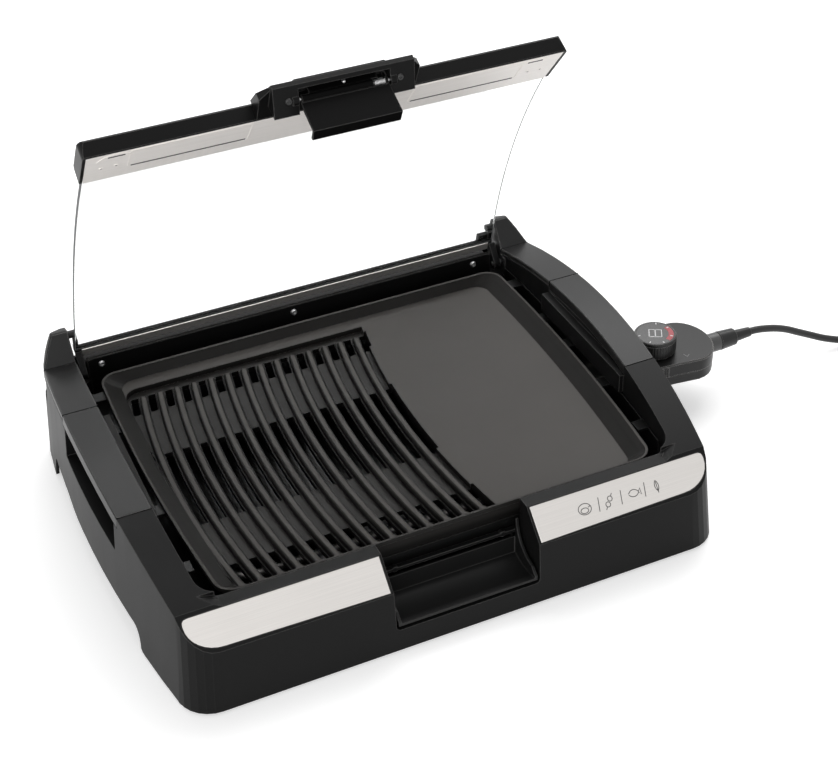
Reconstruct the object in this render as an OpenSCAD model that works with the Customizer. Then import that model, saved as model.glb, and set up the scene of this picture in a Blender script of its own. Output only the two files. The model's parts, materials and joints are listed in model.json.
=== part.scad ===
// Electric indoor grill with a hinged glass lid, a drip tray and a plug-in control.
// Millimetres. X runs to the right, Y to the back and Z up from the table.
// Shapes are drawn about the middle of the grill plate and then set down so that
// the origin lies under the middle of the object.

/* [Grill plate] */
// Half width of the plate's rim at its widest
plate_half = 196; // [188:1:206]
// Plate's middle to the front of its rim
plate_front = 154; // [148:1:160]
// Plate's middle to the rear of its rim
plate_rear = 155; // [148:1:160]
// Corner radius of the rim
plate_corner = 16; // [12:1:22]
// Radius of the slight outward bow of the rim's long sides
plate_bow = 1900; // [1400:50:3000]
// Where along its depth the plate is widest
plate_bow_at = 60; // [30:5:80]
// Height of the rim above the table
rim_z = 80; // [78:1:90]
// Depth of the cooking surface below the rim
cook_depth = 9; // [8:0.5:11]
// Depth of a groove below the rib tops
groove_depth = 5; // [4:0.5:6]
// Thickness of the cast floor under a groove
plate_floor = 4.5; // [3.5:0.5:5.5]
// Width of the sloped side walls, from the rim to the cooking surface
side_slope = 15; // [11:1:18]
// Width of the sloped front and rear walls
end_slope = 6; // [5:0.5:8]
// Width of one rib
rib_w = 7; // [6:0.5:8]
// Spacing of the ribs
rib_pitch = 15.4; // [14.4:0.1:16]
// Number of ribs
rib_count = 14; // [8:1:14]
// Radius of the ribs' curve
rib_bow = 760; // [600:10:1200]

/* [Casing] */
// Gap between the plate's rim and the side walls of the well
well_side_gap = 15; // [13:0.5:18]
// Gap between the plate's rim and the front edge of the well
well_front_gap = 2.5; // [2:0.5:5]
// Gap between the plate's rim and the rear wall of the well
well_rear_gap = 19.5; // [17:0.5:24]
// Width of a side rail at the widest place
rail_w = 29; // [27:1:36]
// Depth of the front deck and slope, from the well to the foot of the front wall
front_depth = 37.5; // [35:0.5:45]
// Depth of the rear deck behind the well
rear_depth = 20.5; // [19:0.5:28]
// How much further out each side stands at the table than at the rails
side_flare = 12; // [2:1:16]
// How much the front wall leans back over its height
front_lean = 7; // [1:1:10]
// Radius of the outward bow of the long sides
side_bow = 1150; // [900:10:2000]
// Where along its depth the casing is widest
bow_at = 50; // [30:5:70]
// Radius of the casing's upright corners
casing_corner = 28; // [22:1:34]
// Wall of the moulded casing
wall = 3; // [2.5:0.25:3.5]
// Rise of the rails above the plate's rim
rail_rise = 28.8; // [28:0.2:34]
// Radius of the rails' arched top line
rail_arc = 660; // [600:10:800]
// Where along the depth the rails are highest
rail_peak_y = 14; // [0:1:30]
// Height of the front deck above the plate's rim
deck_rise = 2; // [1:0.25:2.25]
// Angle of the front slope that carries the trim plates
front_angle = 44; // [40:1:50]
// Height of the lower edge of the front slope above the table
slope_foot_z = 60; // [56:1:64]
// Height of the arch in the side skirts
arch_z = 22; // [20:1:30]
// Height of the feet
foot_h = 3; // [2:0.5:5]

/* [Handles and covers] */
// Front end of the carrying handles
handle_front_y = -66; // [-72:1:-60]
// Seam between handle and rear cover
handle_rear_y = 77; // [70:1:84]
// Thickness of a carrying handle
handle_t = 9.5; // [8:0.5:12]
// Thickness of a rear rail cover
cover_t = 5; // [4:0.5:6]
// Height of the finger openings' sill above the table
sill_z = 69; // [66:1:74]
// Seam left between moulded pieces
seam = 0.3; // [0.2:0.05:0.5]

/* [Drip tray] */
// Half width of the front notch
notch_half = 61.5; // [58:0.5:66]
// Height of the tray's underside above the table
tray_z = 24; // [23:0.5:26]
// Depth of the tray
tray_h = 21; // [19:0.5:21]
// Length of the tray behind its front wall
tray_len = 250; // [200:5:270]
// Wall of the tray
tray_t = 2; // [1.5:0.25:2.5]

/* [Lid] */
// How far the open lid stands from horizontal, in degrees
lid_open = 63.2; // [55:0.1:64]
// Thickness of the glass
glass_t = 4; // [3.5:0.25:5]
// Radius of the glass's arch
glass_r = 695; // [650:5:900]
// Gap between the lid's rear edge and the walls of the well, each side
lid_side_gap = 6.4; // [5.5:0.1:9]
// How much each side of the glass draws in towards the front
glass_taper = 10; // [6:0.5:12]
// Width of the front bar along the glass
bar_w = 48; // [40:1:52]
// Thickness of the front bar
bar_t = 14.4; // [13:0.2:15]
// Tilt of the front bar against the lid's chord, in degrees
bar_tilt = 15; // [14:0.5:16]
// Half length of the front bar
bar_half = 197; // [180:1:197.5]
// Radius of the pivot pins
pivot_r = 2.5; // [2:0.25:3]
// Half width of the lid handle
lid_handle_half = 64.5; // [58:0.5:66]

/* [Latch] */
// Radius of the latch's barrel
barrel_r = 3; // [2.6:0.1:3.4]
// Radius of the latch's steel pin
latch_pin_r = 1.25; // [1:0.05:1.5]
// Half width of the latch flap
flap_half = 35.5; // [28:0.5:36]
// Thickness of the latch flap
flap_t = 2.5; // [2:0.1:3]
// How far the flap's lip reaches under the catch
lip_reach = 8.2; // [6:0.2:9]

/* [Plug-in control] */
// Diameter of the knob
knob_d = 38.8; // [34:0.2:42]
// Height of the knob's top above the table
knob_top_z = 75; // [70:0.5:80]
// Height of the housing's top above the table
control_top_z = 57; // [55:0.5:62]
// Height of the control's housing
control_h = 23; // [20:0.5:25]
// Half width of the housing at its widest
control_half = 32; // [28:0.5:36]
// Length of the housing
control_len = 86; // [80:1:96]
// Height of the pins and the probe above the table
pin_z = 50.5; // [49.5:0.5:51]
// Radius of the two contact pins
pin_r = 3; // [2.5:0.25:3.25]
// Distance of each contact pin from the middle
pin_y = 11; // [10:0.5:13]
// Radius of the probe
probe_r = 3; // [2.5:0.25:3.5]
// Radius of the heating element's tube
element_r = 3.25; // [3:0.25:4]

/* [Cord] */
// Diameter of the mains lead
cord_d = 6.8; // [6:0.1:7.5]

/* [Hidden] */
$fn = 48;
big = 600;
eps = 0.01;

// Plate levels
cook_z = rim_z - cook_depth;
groove_z = cook_z - groove_depth;
plate_under_z = groove_z - plate_floor;
flange_t = 4;
flange_w = 7;

// Well and casing
well_half = plate_half + well_side_gap;
well_front = plate_front + well_front_gap;
well_rear = plate_rear + well_rear_gap;
well_corner = plate_corner + 1;
side_half = well_half + rail_w;
casing_front = well_front + front_depth;
casing_rear = well_rear + rear_depth;
deck_z = rim_z + deck_rise;
deck_half = well_half - 24;
rail_peak_z = rim_z + rail_rise;
casing_h = rail_peak_z + 8;
rear_deck_z = rim_z;
rear_lip_z = rim_z + 6;
floor_z = tray_z - 4;

// Heat shield
shield_t = 0.8;
shield_gap = 0.5;
shield_z = tray_z + tray_h + 0.7;
shield_side_z = rim_z - 5;
shield_front = plate_front - 3.5;
seat_t = 2.4;

// Lid: the pivot, and the lid's rear edge H measured from the pivot when it lies shut
hinge_y = well_rear - 2.5;
hinge_z = rim_z - 5;
post_seam_z = rail_z(hinge_y) - cover_t - 2 * seam;
edge_fwd = 8;
edge_up = 13;
shut_tilt = 1.5;
glass_half = well_half - lid_side_gap;
glass_mid = 118.5;
glass_sag = glass_r - sqrt(glass_r * glass_r - glass_mid * glass_mid);
glass_top = 17.9;
glass_edge_w = glass_top - glass_sag;
edge_tilt = asin(glass_mid / glass_r);
bar_v = hinge_y + plate_front - 17;
glass_len = bar_v - 14;
handle_v = bar_v + 32;
latch_v = bar_v + 19.5;
latch_w = -20.5;
flap_v = bar_v + 17.5;
pad_v = bar_v + 28;
spring_x = 23;
spring_len = 9;
flap_w = -50.3;
clamp_half = glass_half + 0.4;
arm_in = glass_half - 4.6;
arm_t = 6;
pocket_in = arm_in - 2;
post_in = side_x(well_rear, well_half, plate_bow, plate_bow_at) + 0.5;
pivot_clear = 0.06;
// The stop pins: how far they reach past the lid's end, and the face of the ear they meet
stop_r = 3.5;
stop_reach = 4;
stop_face = 3.6;
stop_y = hinge_y + 18.3;
stop_z = hinge_z + 31;

// Where the shut latch finds its catch
catch_y = -(plate_front - 1.5);
catch_z = shut_z(flap_v, flap_w) + flap_t + 0.5;

// Control, pins and probe; the plug-in control starts just outside the casing's side
control_x = side_x(0, side_half, side_bow, bow_at) + side_flare * (1 - 34 / casing_h) + 1.6;
knob_x = control_x + 29.5;
control_base_z = control_top_z - control_h;
split_z = control_base_z + 11;
shell_t = 2;
element_z = pin_z;
element_end_x = plate_half;
pin_clear = 0.2;
sleeve_r = pin_r + 1.5;
relief_x = control_x + control_len + 12;
cord_exit_z = 45;
ring_r = cord_d / 2 + 5.4;
ring_x = control_x + control_len - 1.4;

// Cord: points chosen by hand from the strain relief to the coil
lead_path = [[380, 0, 45], [388, 0, 44.7], [396, 0, 43.5], [410, 0, 40], [424, 0, 34.5],
    [438, -1, 27.5], [452, -2, 20.5], [466, -4, 14], [480, -6, 9], [494, -8.5, 5.5],
    [508, -11, 3.9], [524, -13.5, 3.5]];
coil_at = [540, -56];
coil_r = 37.5;
coil_cols = 3;
coil_rows = 2;
tail_path = [[578, -32, 8.6], [585.5, -39.5, 6], [593.5, -46.5, 4.6], [602.5, -52.3, 5.2],
    [613, -57, 8.6], [624, -60.3, 13.2], [635, -62.2, 16.9], [646, -62.5, 18]];
plug_at = [646, -62.5, 18];

// The object without its cord runs from the left side to the control's end
frame_x = (control_x + control_len - side_half - side_flare) / 2;
frame_y = (casing_rear - casing_front) / 2;

function side_x(y, half, bow, at) = half - pow(y - at, 2) / (2 * bow);
function rail_z(y) = rail_peak_z - rail_arc + sqrt(pow(rail_arc, 2) - pow(y - rail_peak_y, 2));
function slope_y(z) = -casing_front + 3.5 + (z - slope_foot_z) / tan(front_angle);
function glass_w(v) = glass_top - glass_r + sqrt(pow(glass_r, 2) - pow(v - glass_mid, 2));
// Height and depth that a point (v, w) of the lid has when the lid is shut
function shut_z(v, w) = hinge_z + edge_up + v * sin(shut_tilt) + w * cos(shut_tilt) + 0.2;
function arc_points(c, r, a0, a1, n) = [for (i = [0:n]) let (a = a0 + (a1 - a0) * i / n)
    [c[0] + r * cos(a), c[1] + r * sin(a)]];
// Right half of an outline with bowed sides and round corners, from the rear to the front
function right_half(half, bow, at, front, rear, corner) =
    let (ar = atan((rear - corner - at) / bow),
        af = atan((corner - front - at) / bow),
        yr = rear - corner + corner * sin(ar),
        yf = corner - front + corner * sin(af),
        cr = [side_x(yr, half, bow, at) - corner * cos(ar), rear - corner],
        cf = [side_x(yf, half, bow, at) - corner * cos(af), corner - front],
        steps = 12)
    concat(arc_points(cr, corner, 90, ar, 6),
        [for (i = [1:steps - 1]) let (y = yr + (yf - yr) * i / steps) [side_x(y, half, bow, at), y]],
        arc_points(cf, corner, af, -90, 6));
function bowed_outline(half, bow, at, front, rear, corner) =
    let (r = right_half(half, bow, at, front, rear, corner), n = len(r))
    concat(r, [for (i = [0:n - 1]) [-r[n - 1 - i][0], r[n - 1 - i][1]]]);

// ---------- helpers ----------

module placed() {
    translate([-frame_x, -frame_y, 0]) children();
}

// A profile drawn as (depth, height), carried across the whole width
module across(width) {
    rotate([90, 0, 90]) linear_extrude(width, center = true) children();
}

// The same for the lid, whose profiles are drawn as (distance from its rear edge, outward)
module lid_across(width) {
    rotate([90, 0, -90]) linear_extrude(width, center = true) children();
}

// From the lid's own frame to the open lid
module on_lid() {
    translate([0, hinge_y, hinge_z]) rotate([-lid_open, 0, 0])
        translate([0, -edge_fwd, edge_up]) children();
}

module both_sides() {
    children();
    mirror([1, 0, 0]) children();
}

module box(x0, x1, y0, y1, z0, z1) {
    translate([x0, y0, z0]) cube([x1 - x0, y1 - y0, z1 - z0]);
}

module rod_x(r, x0, x1, y, z) {
    translate([x0, y, z]) rotate([0, 90, 0]) cylinder(r = r, h = x1 - x0);
}

module well_outline(grow) {
    polygon(bowed_outline(well_half + grow, plate_bow, plate_bow_at, well_front + grow,
        well_rear + grow, well_corner + grow));
}

// The casing's flared block, drawn in by inset; it keeps its rear wall upright
module flared(inset) {
    half = side_half + side_flare;
    translate([0, casing_rear, 0])
        linear_extrude(casing_h, scale = [side_half / half,
            1 - front_lean / (casing_front + casing_rear)], slices = 1, $fn = 1)
        translate([0, -casing_rear])
        polygon(bowed_outline(half - inset, side_bow, bow_at, casing_front - inset,
            casing_rear - inset, casing_corner - inset));
}

// Side view of the casing: the arched rails and the front slope
module side_view(inset) {
    lift = inset / cos(front_angle);
    intersection() {
        translate([rail_peak_y, rail_peak_z - rail_arc]) circle(r = rail_arc - inset, $fn = 360);
        polygon([[slope_y(lift), 0], [casing_rear + 1, 0], [casing_rear + 1, big],
            [slope_y(big + lift), big]]);
    }
}

module casing_form(inset) {
    intersection() {
        flared(inset);
        across(2 * big) side_view(inset);
    }
}

// What lies above the rails' top line lowered by t, between two places along the depth
module above_rail(t, y0, y1) {
    difference() {
        box(-big, big, y0, y1, 0, casing_h + 1);
        translate([0, rail_peak_y, rail_peak_z - rail_arc]) rotate([0, 90, 0])
            cylinder(r = rail_arc - t, h = 4 * big, center = true, $fn = 360);
    }
}

module screw_head(r, h) {
    difference() {
        cylinder(r1 = r, r2 = r * 0.75, h = h);
        for (a = [0, 90]) rotate(a) translate([-r * 0.5, -r * 0.12, h * 0.4])
            cube([r, r * 0.24, h]);
    }
}

// ---------- base ----------

// Open front notch between the trim plates
module notch_form(grow, z0) {
    r = 4;
    rotate([90, 0, 0]) translate([0, 0, -catch_y - 1.5 - grow])
        linear_extrude(casing_front) union() {
            translate([-notch_half - grow, z0 + r]) square([2 * (notch_half + grow), casing_h]);
            translate([-notch_half - grow + r, z0]) square([2 * (notch_half + grow - r), r + 1]);
            for (s = [-1, 1]) translate([s * (notch_half + grow - r), z0 + r]) circle(r = r);
        }
}

// Finger opening under a carrying handle, on the right side, deeper at knuckle height
module finger_form(grow) {
    y0 = handle_front_y + 6 - grow;
    y1 = handle_rear_y - 6 + grow;
    box(well_half + wall - grow, big, y0, y1, sill_z - grow, rail_peak_z);
    box(well_half - 5 - grow, big, y0, y1, rim_z - grow, rim_z + 12 + grow);
}

// Arch in the skirt of the right side, a little higher towards the back
module arch_form() {
    front = -casing_front + 85;
    rear = casing_rear - 58;
    lift = 6;
    round = 13;
    translate([well_half + wall + 1, 0, 0]) rotate([90, 0, 90]) linear_extrude(big)
        polygon(concat([[front, -1], [front, foot_h]],
            [for (i = [0:6]) let (a = 15 * i)
                [front + 3 + round * (1 - cos(a)), foot_h + 2 + (arch_z - foot_h - 2) * sin(a)]],
            [[45, arch_z + 1], [78, arch_z + lift]],
            [for (i = [0:6]) let (a = 15 * i)
                [rear - round - 2 + round * sin(a), foot_h + (arch_z + lift - foot_h) * cos(a)]],
            [[rear, -1]]));
}

module foot_places() {
    for (p = [[side_half - 18, casing_front - 26], [side_half - 18, -casing_rear + 34]])
        for (s = [-1, 1]) translate([s * p[0], -p[1], 0]) children();
}

module bottom_screw_places() {
    for (p = [[150, -110], [150, 120], [60, 165]])
        for (s = [-1, 1]) translate([s * p[0], p[1], 0]) children();
}

module base_housing() {
    color([0.07, 0.07, 0.07]) difference() {
        union() {
            difference() {
                casing_form(0);
                casing_form(wall);
            }
            intersection() {
                casing_form(wall / 2);
                union() {
                    translate([0, 0, floor_z]) linear_extrude(big) well_outline(wall);
                    notch_form(wall, tray_z - wall);
                    both_sides() finger_form(wall);
                    foot_places() translate([0, 0, foot_h]) cylinder(r = 11, h = big);
                    both_sides() box(post_in - 14, side_half, hinge_y - 14, casing_rear,
                        hinge_z - 14, post_seam_z);
                    box(-big, big, -casing_front, -well_front, deck_z - wall, deck_z);
                    box(-post_in, post_in, well_rear, casing_rear, rear_deck_z - wall, rear_deck_z);
                }
            }
        }
        // The well, open to the deck
        translate([0, 0, floor_z - 1]) linear_extrude(big) difference() {
            well_outline(0);
            for (s = [-1, 1]) translate([s * (well_half - 8), handle_front_y + 1])
                translate([s > 0 ? 0 : -20, 0]) square([20, handle_rear_y - handle_front_y - 2]);
        }
        both_sides() {
            box(well_half - 30, well_half, handle_front_y, handle_rear_y, floor_z - 1, sill_z + 8);
            box(well_half - 30, well_half, handle_front_y, handle_rear_y, rim_z + 15, big);
            finger_form(0);
            // Room for the hinge arm and seat of the hinge post
            box(pocket_in, big, hinge_y - 12 - seam, casing_rear - wall, hinge_z - 11, post_seam_z);
            box(pocket_in, post_in + 1, hinge_y - 12, casing_rear - 6, hinge_z - 11, big);
            box(post_in, big, hinge_y - 2.6 - seam, big, post_seam_z, big);
            above_rail(handle_t + seam, handle_front_y, handle_rear_y);
            above_rail(cover_t + seam, handle_rear_y, hinge_y);
        }
        notch_form(0, tray_z - 1);
        // Front deck, which runs up into the rails, and rear deck behind the well
        rotate([90, 0, 0]) translate([0, 0, well_front - 1]) linear_extrude(front_depth + 2)
            polygon([[-deck_half, deck_z], [deck_half, deck_z], [deck_half + 60, deck_z + 18],
                [-deck_half - 60, deck_z + 18]]);
        box(-post_in, post_in, well_rear + wall, big, rear_deck_z, big);
        box(-post_in, post_in, well_rear - 1, big, rear_lip_z, big);
        // Mouth for the tray under the deck and the well
        box(-notch_half + 1, notch_half - 1, -casing_front + 5, -100, tray_z - 1, shield_z - 0.5);
        // Underside, arches and the opening for the plug-in control
        box(-big, big, -big, big, -1, foot_h);
        both_sides() arch_form();
        box(well_half + 1, big, -21, 21, pin_z - 14, pin_z + 7.5);
        for (y = [-pin_y, 0, pin_y]) rod_x(6, well_half - 5, big, y, pin_z);
        trim_form(0.3, 1.2);
        mirror([1, 0, 0]) trim_form(0.3, 1.2);
        bottom_screw_places() translate([0, 0, floor_z - 1]) cylinder(r = 1.6, h = 12);
        liner_screw_places() cylinder(r = 1.6, h = 10, center = true);
    }
}

// A carrying handle: the slab of the rail over the finger opening
module handle_right() {
    color([0.09, 0.09, 0.09]) intersection() {
        casing_form(0);
        difference() {
            above_rail(handle_t, handle_front_y + seam, handle_rear_y - seam);
            linear_extrude(big) well_outline(0);
        }
        box(0, big, -big, big, 0, big);
    }
}

// The moulded cover between handle and hinge post
module rear_rail_right() {
    color([0.09, 0.09, 0.09]) difference() {
        intersection() {
            casing_form(0);
            above_rail(cover_t, handle_rear_y + seam, hinge_y - 2.6 - seam);
            box(0, big, -big, big, 0, big);
        }
        linear_extrude(big) well_outline(0);
        // Room for the hinge arm
        box(0, post_in, hinge_y - 12, big, 0, big);
        intersection() {
            casing_form(2);
            above_rail(cover_t + 1, handle_rear_y + 3, hinge_y - 5.6);
            box(side_x(well_rear, well_half, plate_bow, plate_bow_at) + 6, big, -big, big, 0, big);
        }
    }
}

// The post that carries the lid, with its bore for the pivot pin
module hinge_post_right() {
    color([0.08, 0.08, 0.08]) difference() {
        union() {
            intersection() {
                flared(0);
                across(2 * big) polygon([[hinge_y - 2.6, post_seam_z],
                    [hinge_y - 2.6, rail_z(hinge_y)], [hinge_y + 13, rail_peak_z + 4],
                    [hinge_y + 15, rail_peak_z + 5], [casing_rear - 1, rail_peak_z + 3.4],
                    [casing_rear + 1, rail_peak_z + 2], [casing_rear + 1, post_seam_z]]);
                box(post_in, big, -big, big, 0, big);
                // Its outer side leans in towards the top
                rotate([90, 0, 0]) linear_extrude(2 * big, center = true) polygon([[0, 0],
                    [side_half + 13, rail_peak_z - 49], [side_half - 4.5, rail_peak_z - 17],
                    [side_half - 10.5, rail_peak_z - 6], [side_half - 17.5, rail_peak_z + 5],
                    [side_half - 24, rail_peak_z + 13], [0, rail_peak_z + 13]]);
            }
            intersection() {
                flared(wall + seam);
                box(post_in, big, hinge_y - 12, casing_rear - wall - seam, hinge_z - 11,
                    post_seam_z);
            }
        }
        rod_x(pivot_r + pivot_clear, post_in - 1, post_in + 14, hinge_y, hinge_z);
        rod_x(stop_r, post_in - 1, post_in + 6, stop_y, stop_z);
    }
}

module lid_stop_pins() {
    color([0.12, 0.12, 0.12]) both_sides()
        rod_x(stop_r, clamp_half - stop_reach, post_in + 6, stop_y, stop_z);
}

// Trim plate of the right side, laid on the front slope
module trim_form(gap, depth) {
    inner = notch_half + 2.2;
    outer = side_x(-casing_front + 26, side_half, side_bow, bow_at);
    run = 1.5;
    rise = (deck_z - slope_foot_z) / sin(front_angle) - 2.6;
    corner = 4;
    sweep_x = 26;
    sweep_y = rise - corner - 4;
    translate([0, slope_y(slope_foot_z), slope_foot_z]) rotate([front_angle, 0, 0])
        translate([0, run, -depth]) linear_extrude(depth + (gap > 0 ? 8 : 0))
        offset(delta = gap) polygon(concat([[inner, 0], [inner, rise]],
            arc_points([outer - corner, rise - corner], corner, 90, 0, 4),
            [for (i = [0:8]) let (a = -90 * i / 8)
                [outer - sweep_x * (1 - cos(a)), rise - corner - 2 + sweep_y * sin(a)]]));
}

module trim_plate_right() {
    color([0.82, 0.81, 0.8]) trim_form(0, 1);
}

// The steel lining of the well, with the seats that carry the plate
module heat_shield() {
    z0 = shield_z;
    half = well_half - shield_gap;
    rear = well_rear - shield_gap;
    color([0.2, 0.2, 0.2]) difference() {
        union() {
            difference() {
                translate([0, 0, z0]) linear_extrude(rear_lip_z - z0)
                    polygon(bowed_outline(half, plate_bow, plate_bow_at, shield_front, rear,
                        well_corner));
                translate([0, 0, z0 + shield_t]) linear_extrude(big)
                    polygon(bowed_outline(half - shield_t, plate_bow, plate_bow_at,
                        shield_front - shield_t, rear - shield_t, well_corner - shield_t));
                across(2 * big) polygon([[-big, plate_under_z - 1.5],
                    [-shield_front + 8, plate_under_z - 1.5], [-shield_front + 16, shield_side_z],
                    [rear - 14, shield_side_z], [rear - 14, big], [-big, big]]);
            }
            intersection() {
                for (p = [[1, 67.5], [1, 21.5], [1, -43.6], [-1, 79], [-1, -37], [1, 130],
                    [-1, 130], [1, -110], [-1, -110]])
                    translate([p[0] > 0 ? plate_half - 3.5 : -big, p[1] - 6,
                        rim_z - flange_t - seam - seat_t])
                        cube([big - plate_half + 3.5, 12, seat_t]);
                translate([0, 0, z0]) linear_extrude(big)
                    polygon(bowed_outline(half, plate_bow, plate_bow_at, shield_front, rear,
                        well_corner));
            }
        }
        // Drain over the tray, room for the hinge arms, and holes for pins and probe
        box(-48, 48, -118, 78, z0 - 1, z0 + 2);
        both_sides() box(pocket_in - 0.5, big, hinge_y - 12.5, big, z0 + 4, big);
        for (y = [-pin_y, 0, pin_y]) rod_x(4.2, plate_half - 5, big, y, pin_z);
        box(-big, -plate_half + 3.5 - eps, -big, big, 0, 0.1);
        liner_screw_places() cylinder(r = 1.6, h = 10, center = true);
    }
}

module liner_screw_places() {
    for (x = [-185.6, -3.6, 180]) translate([x, well_rear - shield_gap - shield_t, rim_z - 1])
        rotate([90, 0, 0]) children();
}

module liner_screws() {
    color([0.7, 0.7, 0.7]) liner_screw_places() {
        screw_head(3.2, 1.8);
        translate([0, 0, -4]) cylinder(r = 1.5, h = 4.2);
    }
}

// Straight runs and quarter bends of the tubular element, all at one height
module element_run(p, q) {
    d = q - p;
    translate([p[0], p[1], element_z]) rotate([0, 0, atan2(d[1], d[0])]) rotate([0, 90, 0])
        cylinder(r = element_r, h = norm(d));
}

module element_bend(c, r, a) {
    translate([c[0], c[1], element_z]) rotate([0, 0, a]) rotate_extrude(angle = 90)
        translate([r, 0]) circle(r = element_r, $fn = 24);
}

module heating_element() {
    b = 16;
    xo = plate_half - 30;
    xl = -plate_half + 34;
    xi = 110;
    yo = plate_rear - 42;
    yi = 66;
    color([0.35, 0.33, 0.32]) for (s = [0, 1]) mirror([0, s, 0]) {
        element_run([xo + b - 2, pin_y], [element_end_x, pin_y]);
        element_run([xo - 2, pin_y + b], [xo - 2, yo - b]);
        element_bend([xo - 2 + b, pin_y + b], b, 180);
        element_bend([xo - 2 - b, yo - b], b, 0);
        element_run([xl + b, yo], [xo - 2 - b, yo]);
        element_bend([xl + b, yo - b], b, 90);
        element_run([xl, yi + b], [xl, yo - b]);
        element_bend([xl + b, yi + b], b, 180);
        element_run([xl + b, yi], [xi - b, yi]);
        element_bend([xi - b, yi - b], b, 0);
        element_run([xi, 0], [xi, yi - b]);
    }
}

module element_clips() {
    h = element_z - shield_z - shield_t;
    color([0.6, 0.6, 0.6]) for (p = [[-90, plate_rear - 42], [90, plate_rear - 42],
        [-90, -plate_rear + 42], [90, -plate_rear + 42], [-90, 66], [-90, -66]])
        translate([p[0], p[1], shield_z + shield_t]) rotate([90, 0, 90])
        linear_extrude(8, center = true) difference() {
            union() {
                translate([-8, 0]) square([16, 0.8]);
                translate([0, h]) circle(r = element_r + 0.9);
                translate([-element_r - 0.9, 0]) square([2 * element_r + 1.8, h]);
            }
            translate([0, h]) circle(r = element_r + 0.1);
            translate([-element_r - 0.1, -1]) square([2 * element_r + 0.2, h + 1]);
        }
}

module terminal_pins() {
    color([0.75, 0.75, 0.75]) for (y = [-pin_y, pin_y])
        rod_x(pin_r, element_end_x + 0.1, control_x - 7, y, pin_z);
}

module probe_receptacle() {
    x0 = well_half + 1 + wall;
    x1 = control_x - 4.6;
    color([0.1, 0.1, 0.1]) difference() {
        box(x0, x1, -20.5, 20.5, pin_z - 13.5, pin_z + 7);
        rod_x(probe_r + 1, x0 - 1, x1 + 1, 0, pin_z);
        for (y = [-pin_y, pin_y]) {
            rod_x(pin_r + pin_clear, x0 - 1, x1 + 1, y, pin_z);
            rod_x(sleeve_r + 0.4, control_x - 22, x1 + 1, y, pin_z);
        }
    }
}

// The ledge across the notch, from cheek to cheek, that the shut lid's latch hooks under
module latch_catch() {
    half = notch_half - 0.1;
    color([0.12, 0.12, 0.12]) {
        box(-half, half, catch_y - 4.7, catch_y - seam, catch_z, catch_z + 2.8);
        for (s = [-1, 1]) translate([s * (notch_half - 15), catch_y - 2.5, catch_z + 1.4])
            rotate([90, 0, 0]) cylinder(r = 2.6, h = 4.4, center = true);
    }
}

module tray_rails() {
    x = notch_half - 1;
    color([0.6, 0.6, 0.6]) both_sides() {
        box(x - 6, x + 1.2, -well_front + 8, tray_len - well_front - 10, tray_z - 1.5, tray_z - seam);
        box(x, x + 1.2, -well_front + 8, tray_len - well_front - 10, tray_z - 1.5, shield_z - 0.1);
    }
}

module bottom_plate() {
    color([0.3, 0.3, 0.3]) difference() {
        translate([0, 0, floor_z - 1.6]) linear_extrude(1.5) well_outline(wall - 0.5);
        for (x = [-130:20:130]) if (abs(x) > 70) translate([x, -40, floor_z - 3])
            linear_extrude(5) union() {
                translate([-2, 0]) square([4, 70]);
                for (y = [0, 70]) translate([0, y]) circle(r = 2);
            }
        bottom_screw_places() translate([0, 0, floor_z - 3]) cylinder(r = 1.9, h = 5);
    }
}

module bottom_screws() {
    color([0.7, 0.7, 0.7]) bottom_screw_places() translate([0, 0, floor_z - 1.6])
        rotate([180, 0, 0]) screw_head(3.4, 1.8);
}

module feet() {
    color([0.05, 0.05, 0.05]) foot_places() rotate_extrude()
        polygon([[0, 0], [7.6, 0], [8.4, 0.8], [8.8, foot_h], [0, foot_h]]);
}

// ---------- plate ----------

// Centre of the arc along the left edge of rib i
function rib_left(i) = -plate_half + 16.8 + rib_pitch * i;
function rib_centre(i) = [rib_left(i) + rib_bow, -12];

module rib(i) {
    h = groove_depth;
    c = rib_centre(i);
    y0 = -plate_front + 10;
    y1 = plate_rear - 34;
    a0 = asin((y0 - c[1]) / rib_bow);
    a1 = asin((y1 - c[1]) / rib_bow);
    translate([c[0], c[1], groove_z - 0.5]) rotate([0, 0, 180 - a1])
        rotate_extrude(angle = a1 - a0, $fn = 240)
        translate([rib_bow - rib_w / 2, 0])
        polygon([[-rib_w / 2, 0], [rib_w / 2, 0], [rib_w / 2 - 0.3, h - 0.9], [rib_w / 2 - 0.8, h],
            [rib_w / 2 - 1.7, h + 0.5], [1.7 - rib_w / 2, h + 0.5], [0.8 - rib_w / 2, h],
            [0.3 - rib_w / 2, h - 0.9]]);
    translate([c[0] - (rib_bow - rib_w / 2) * cos(a0), c[1] + (rib_bow - rib_w / 2) * sin(a0),
        groove_z - 0.5]) cylinder(r = rib_w / 2 - 0.3, h = h + 0.6);
}

// The openings in the floor of the groove to the left of rib i
module groove_slots(i) {
    c = rib_centre(i);
    slot_w = rib_pitch - rib_w - 2;
    translate([0, 0, plate_under_z - 1]) linear_extrude(plate_floor + groove_depth + 2)
        intersection() {
            translate(c) difference() {
                circle(r = rib_bow + 1 + slot_w, $fn = 240);
                circle(r = rib_bow + 1, $fn = 240);
            }
            for (y = [[plate_rear - 53, plate_rear - 29], [-58, 41],
                [-plate_front + 9, -plate_front + 42]])
                translate([rib_left(i) - rib_pitch, y[0]]) square([40, y[1] - y[0]]);
        }
}

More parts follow.
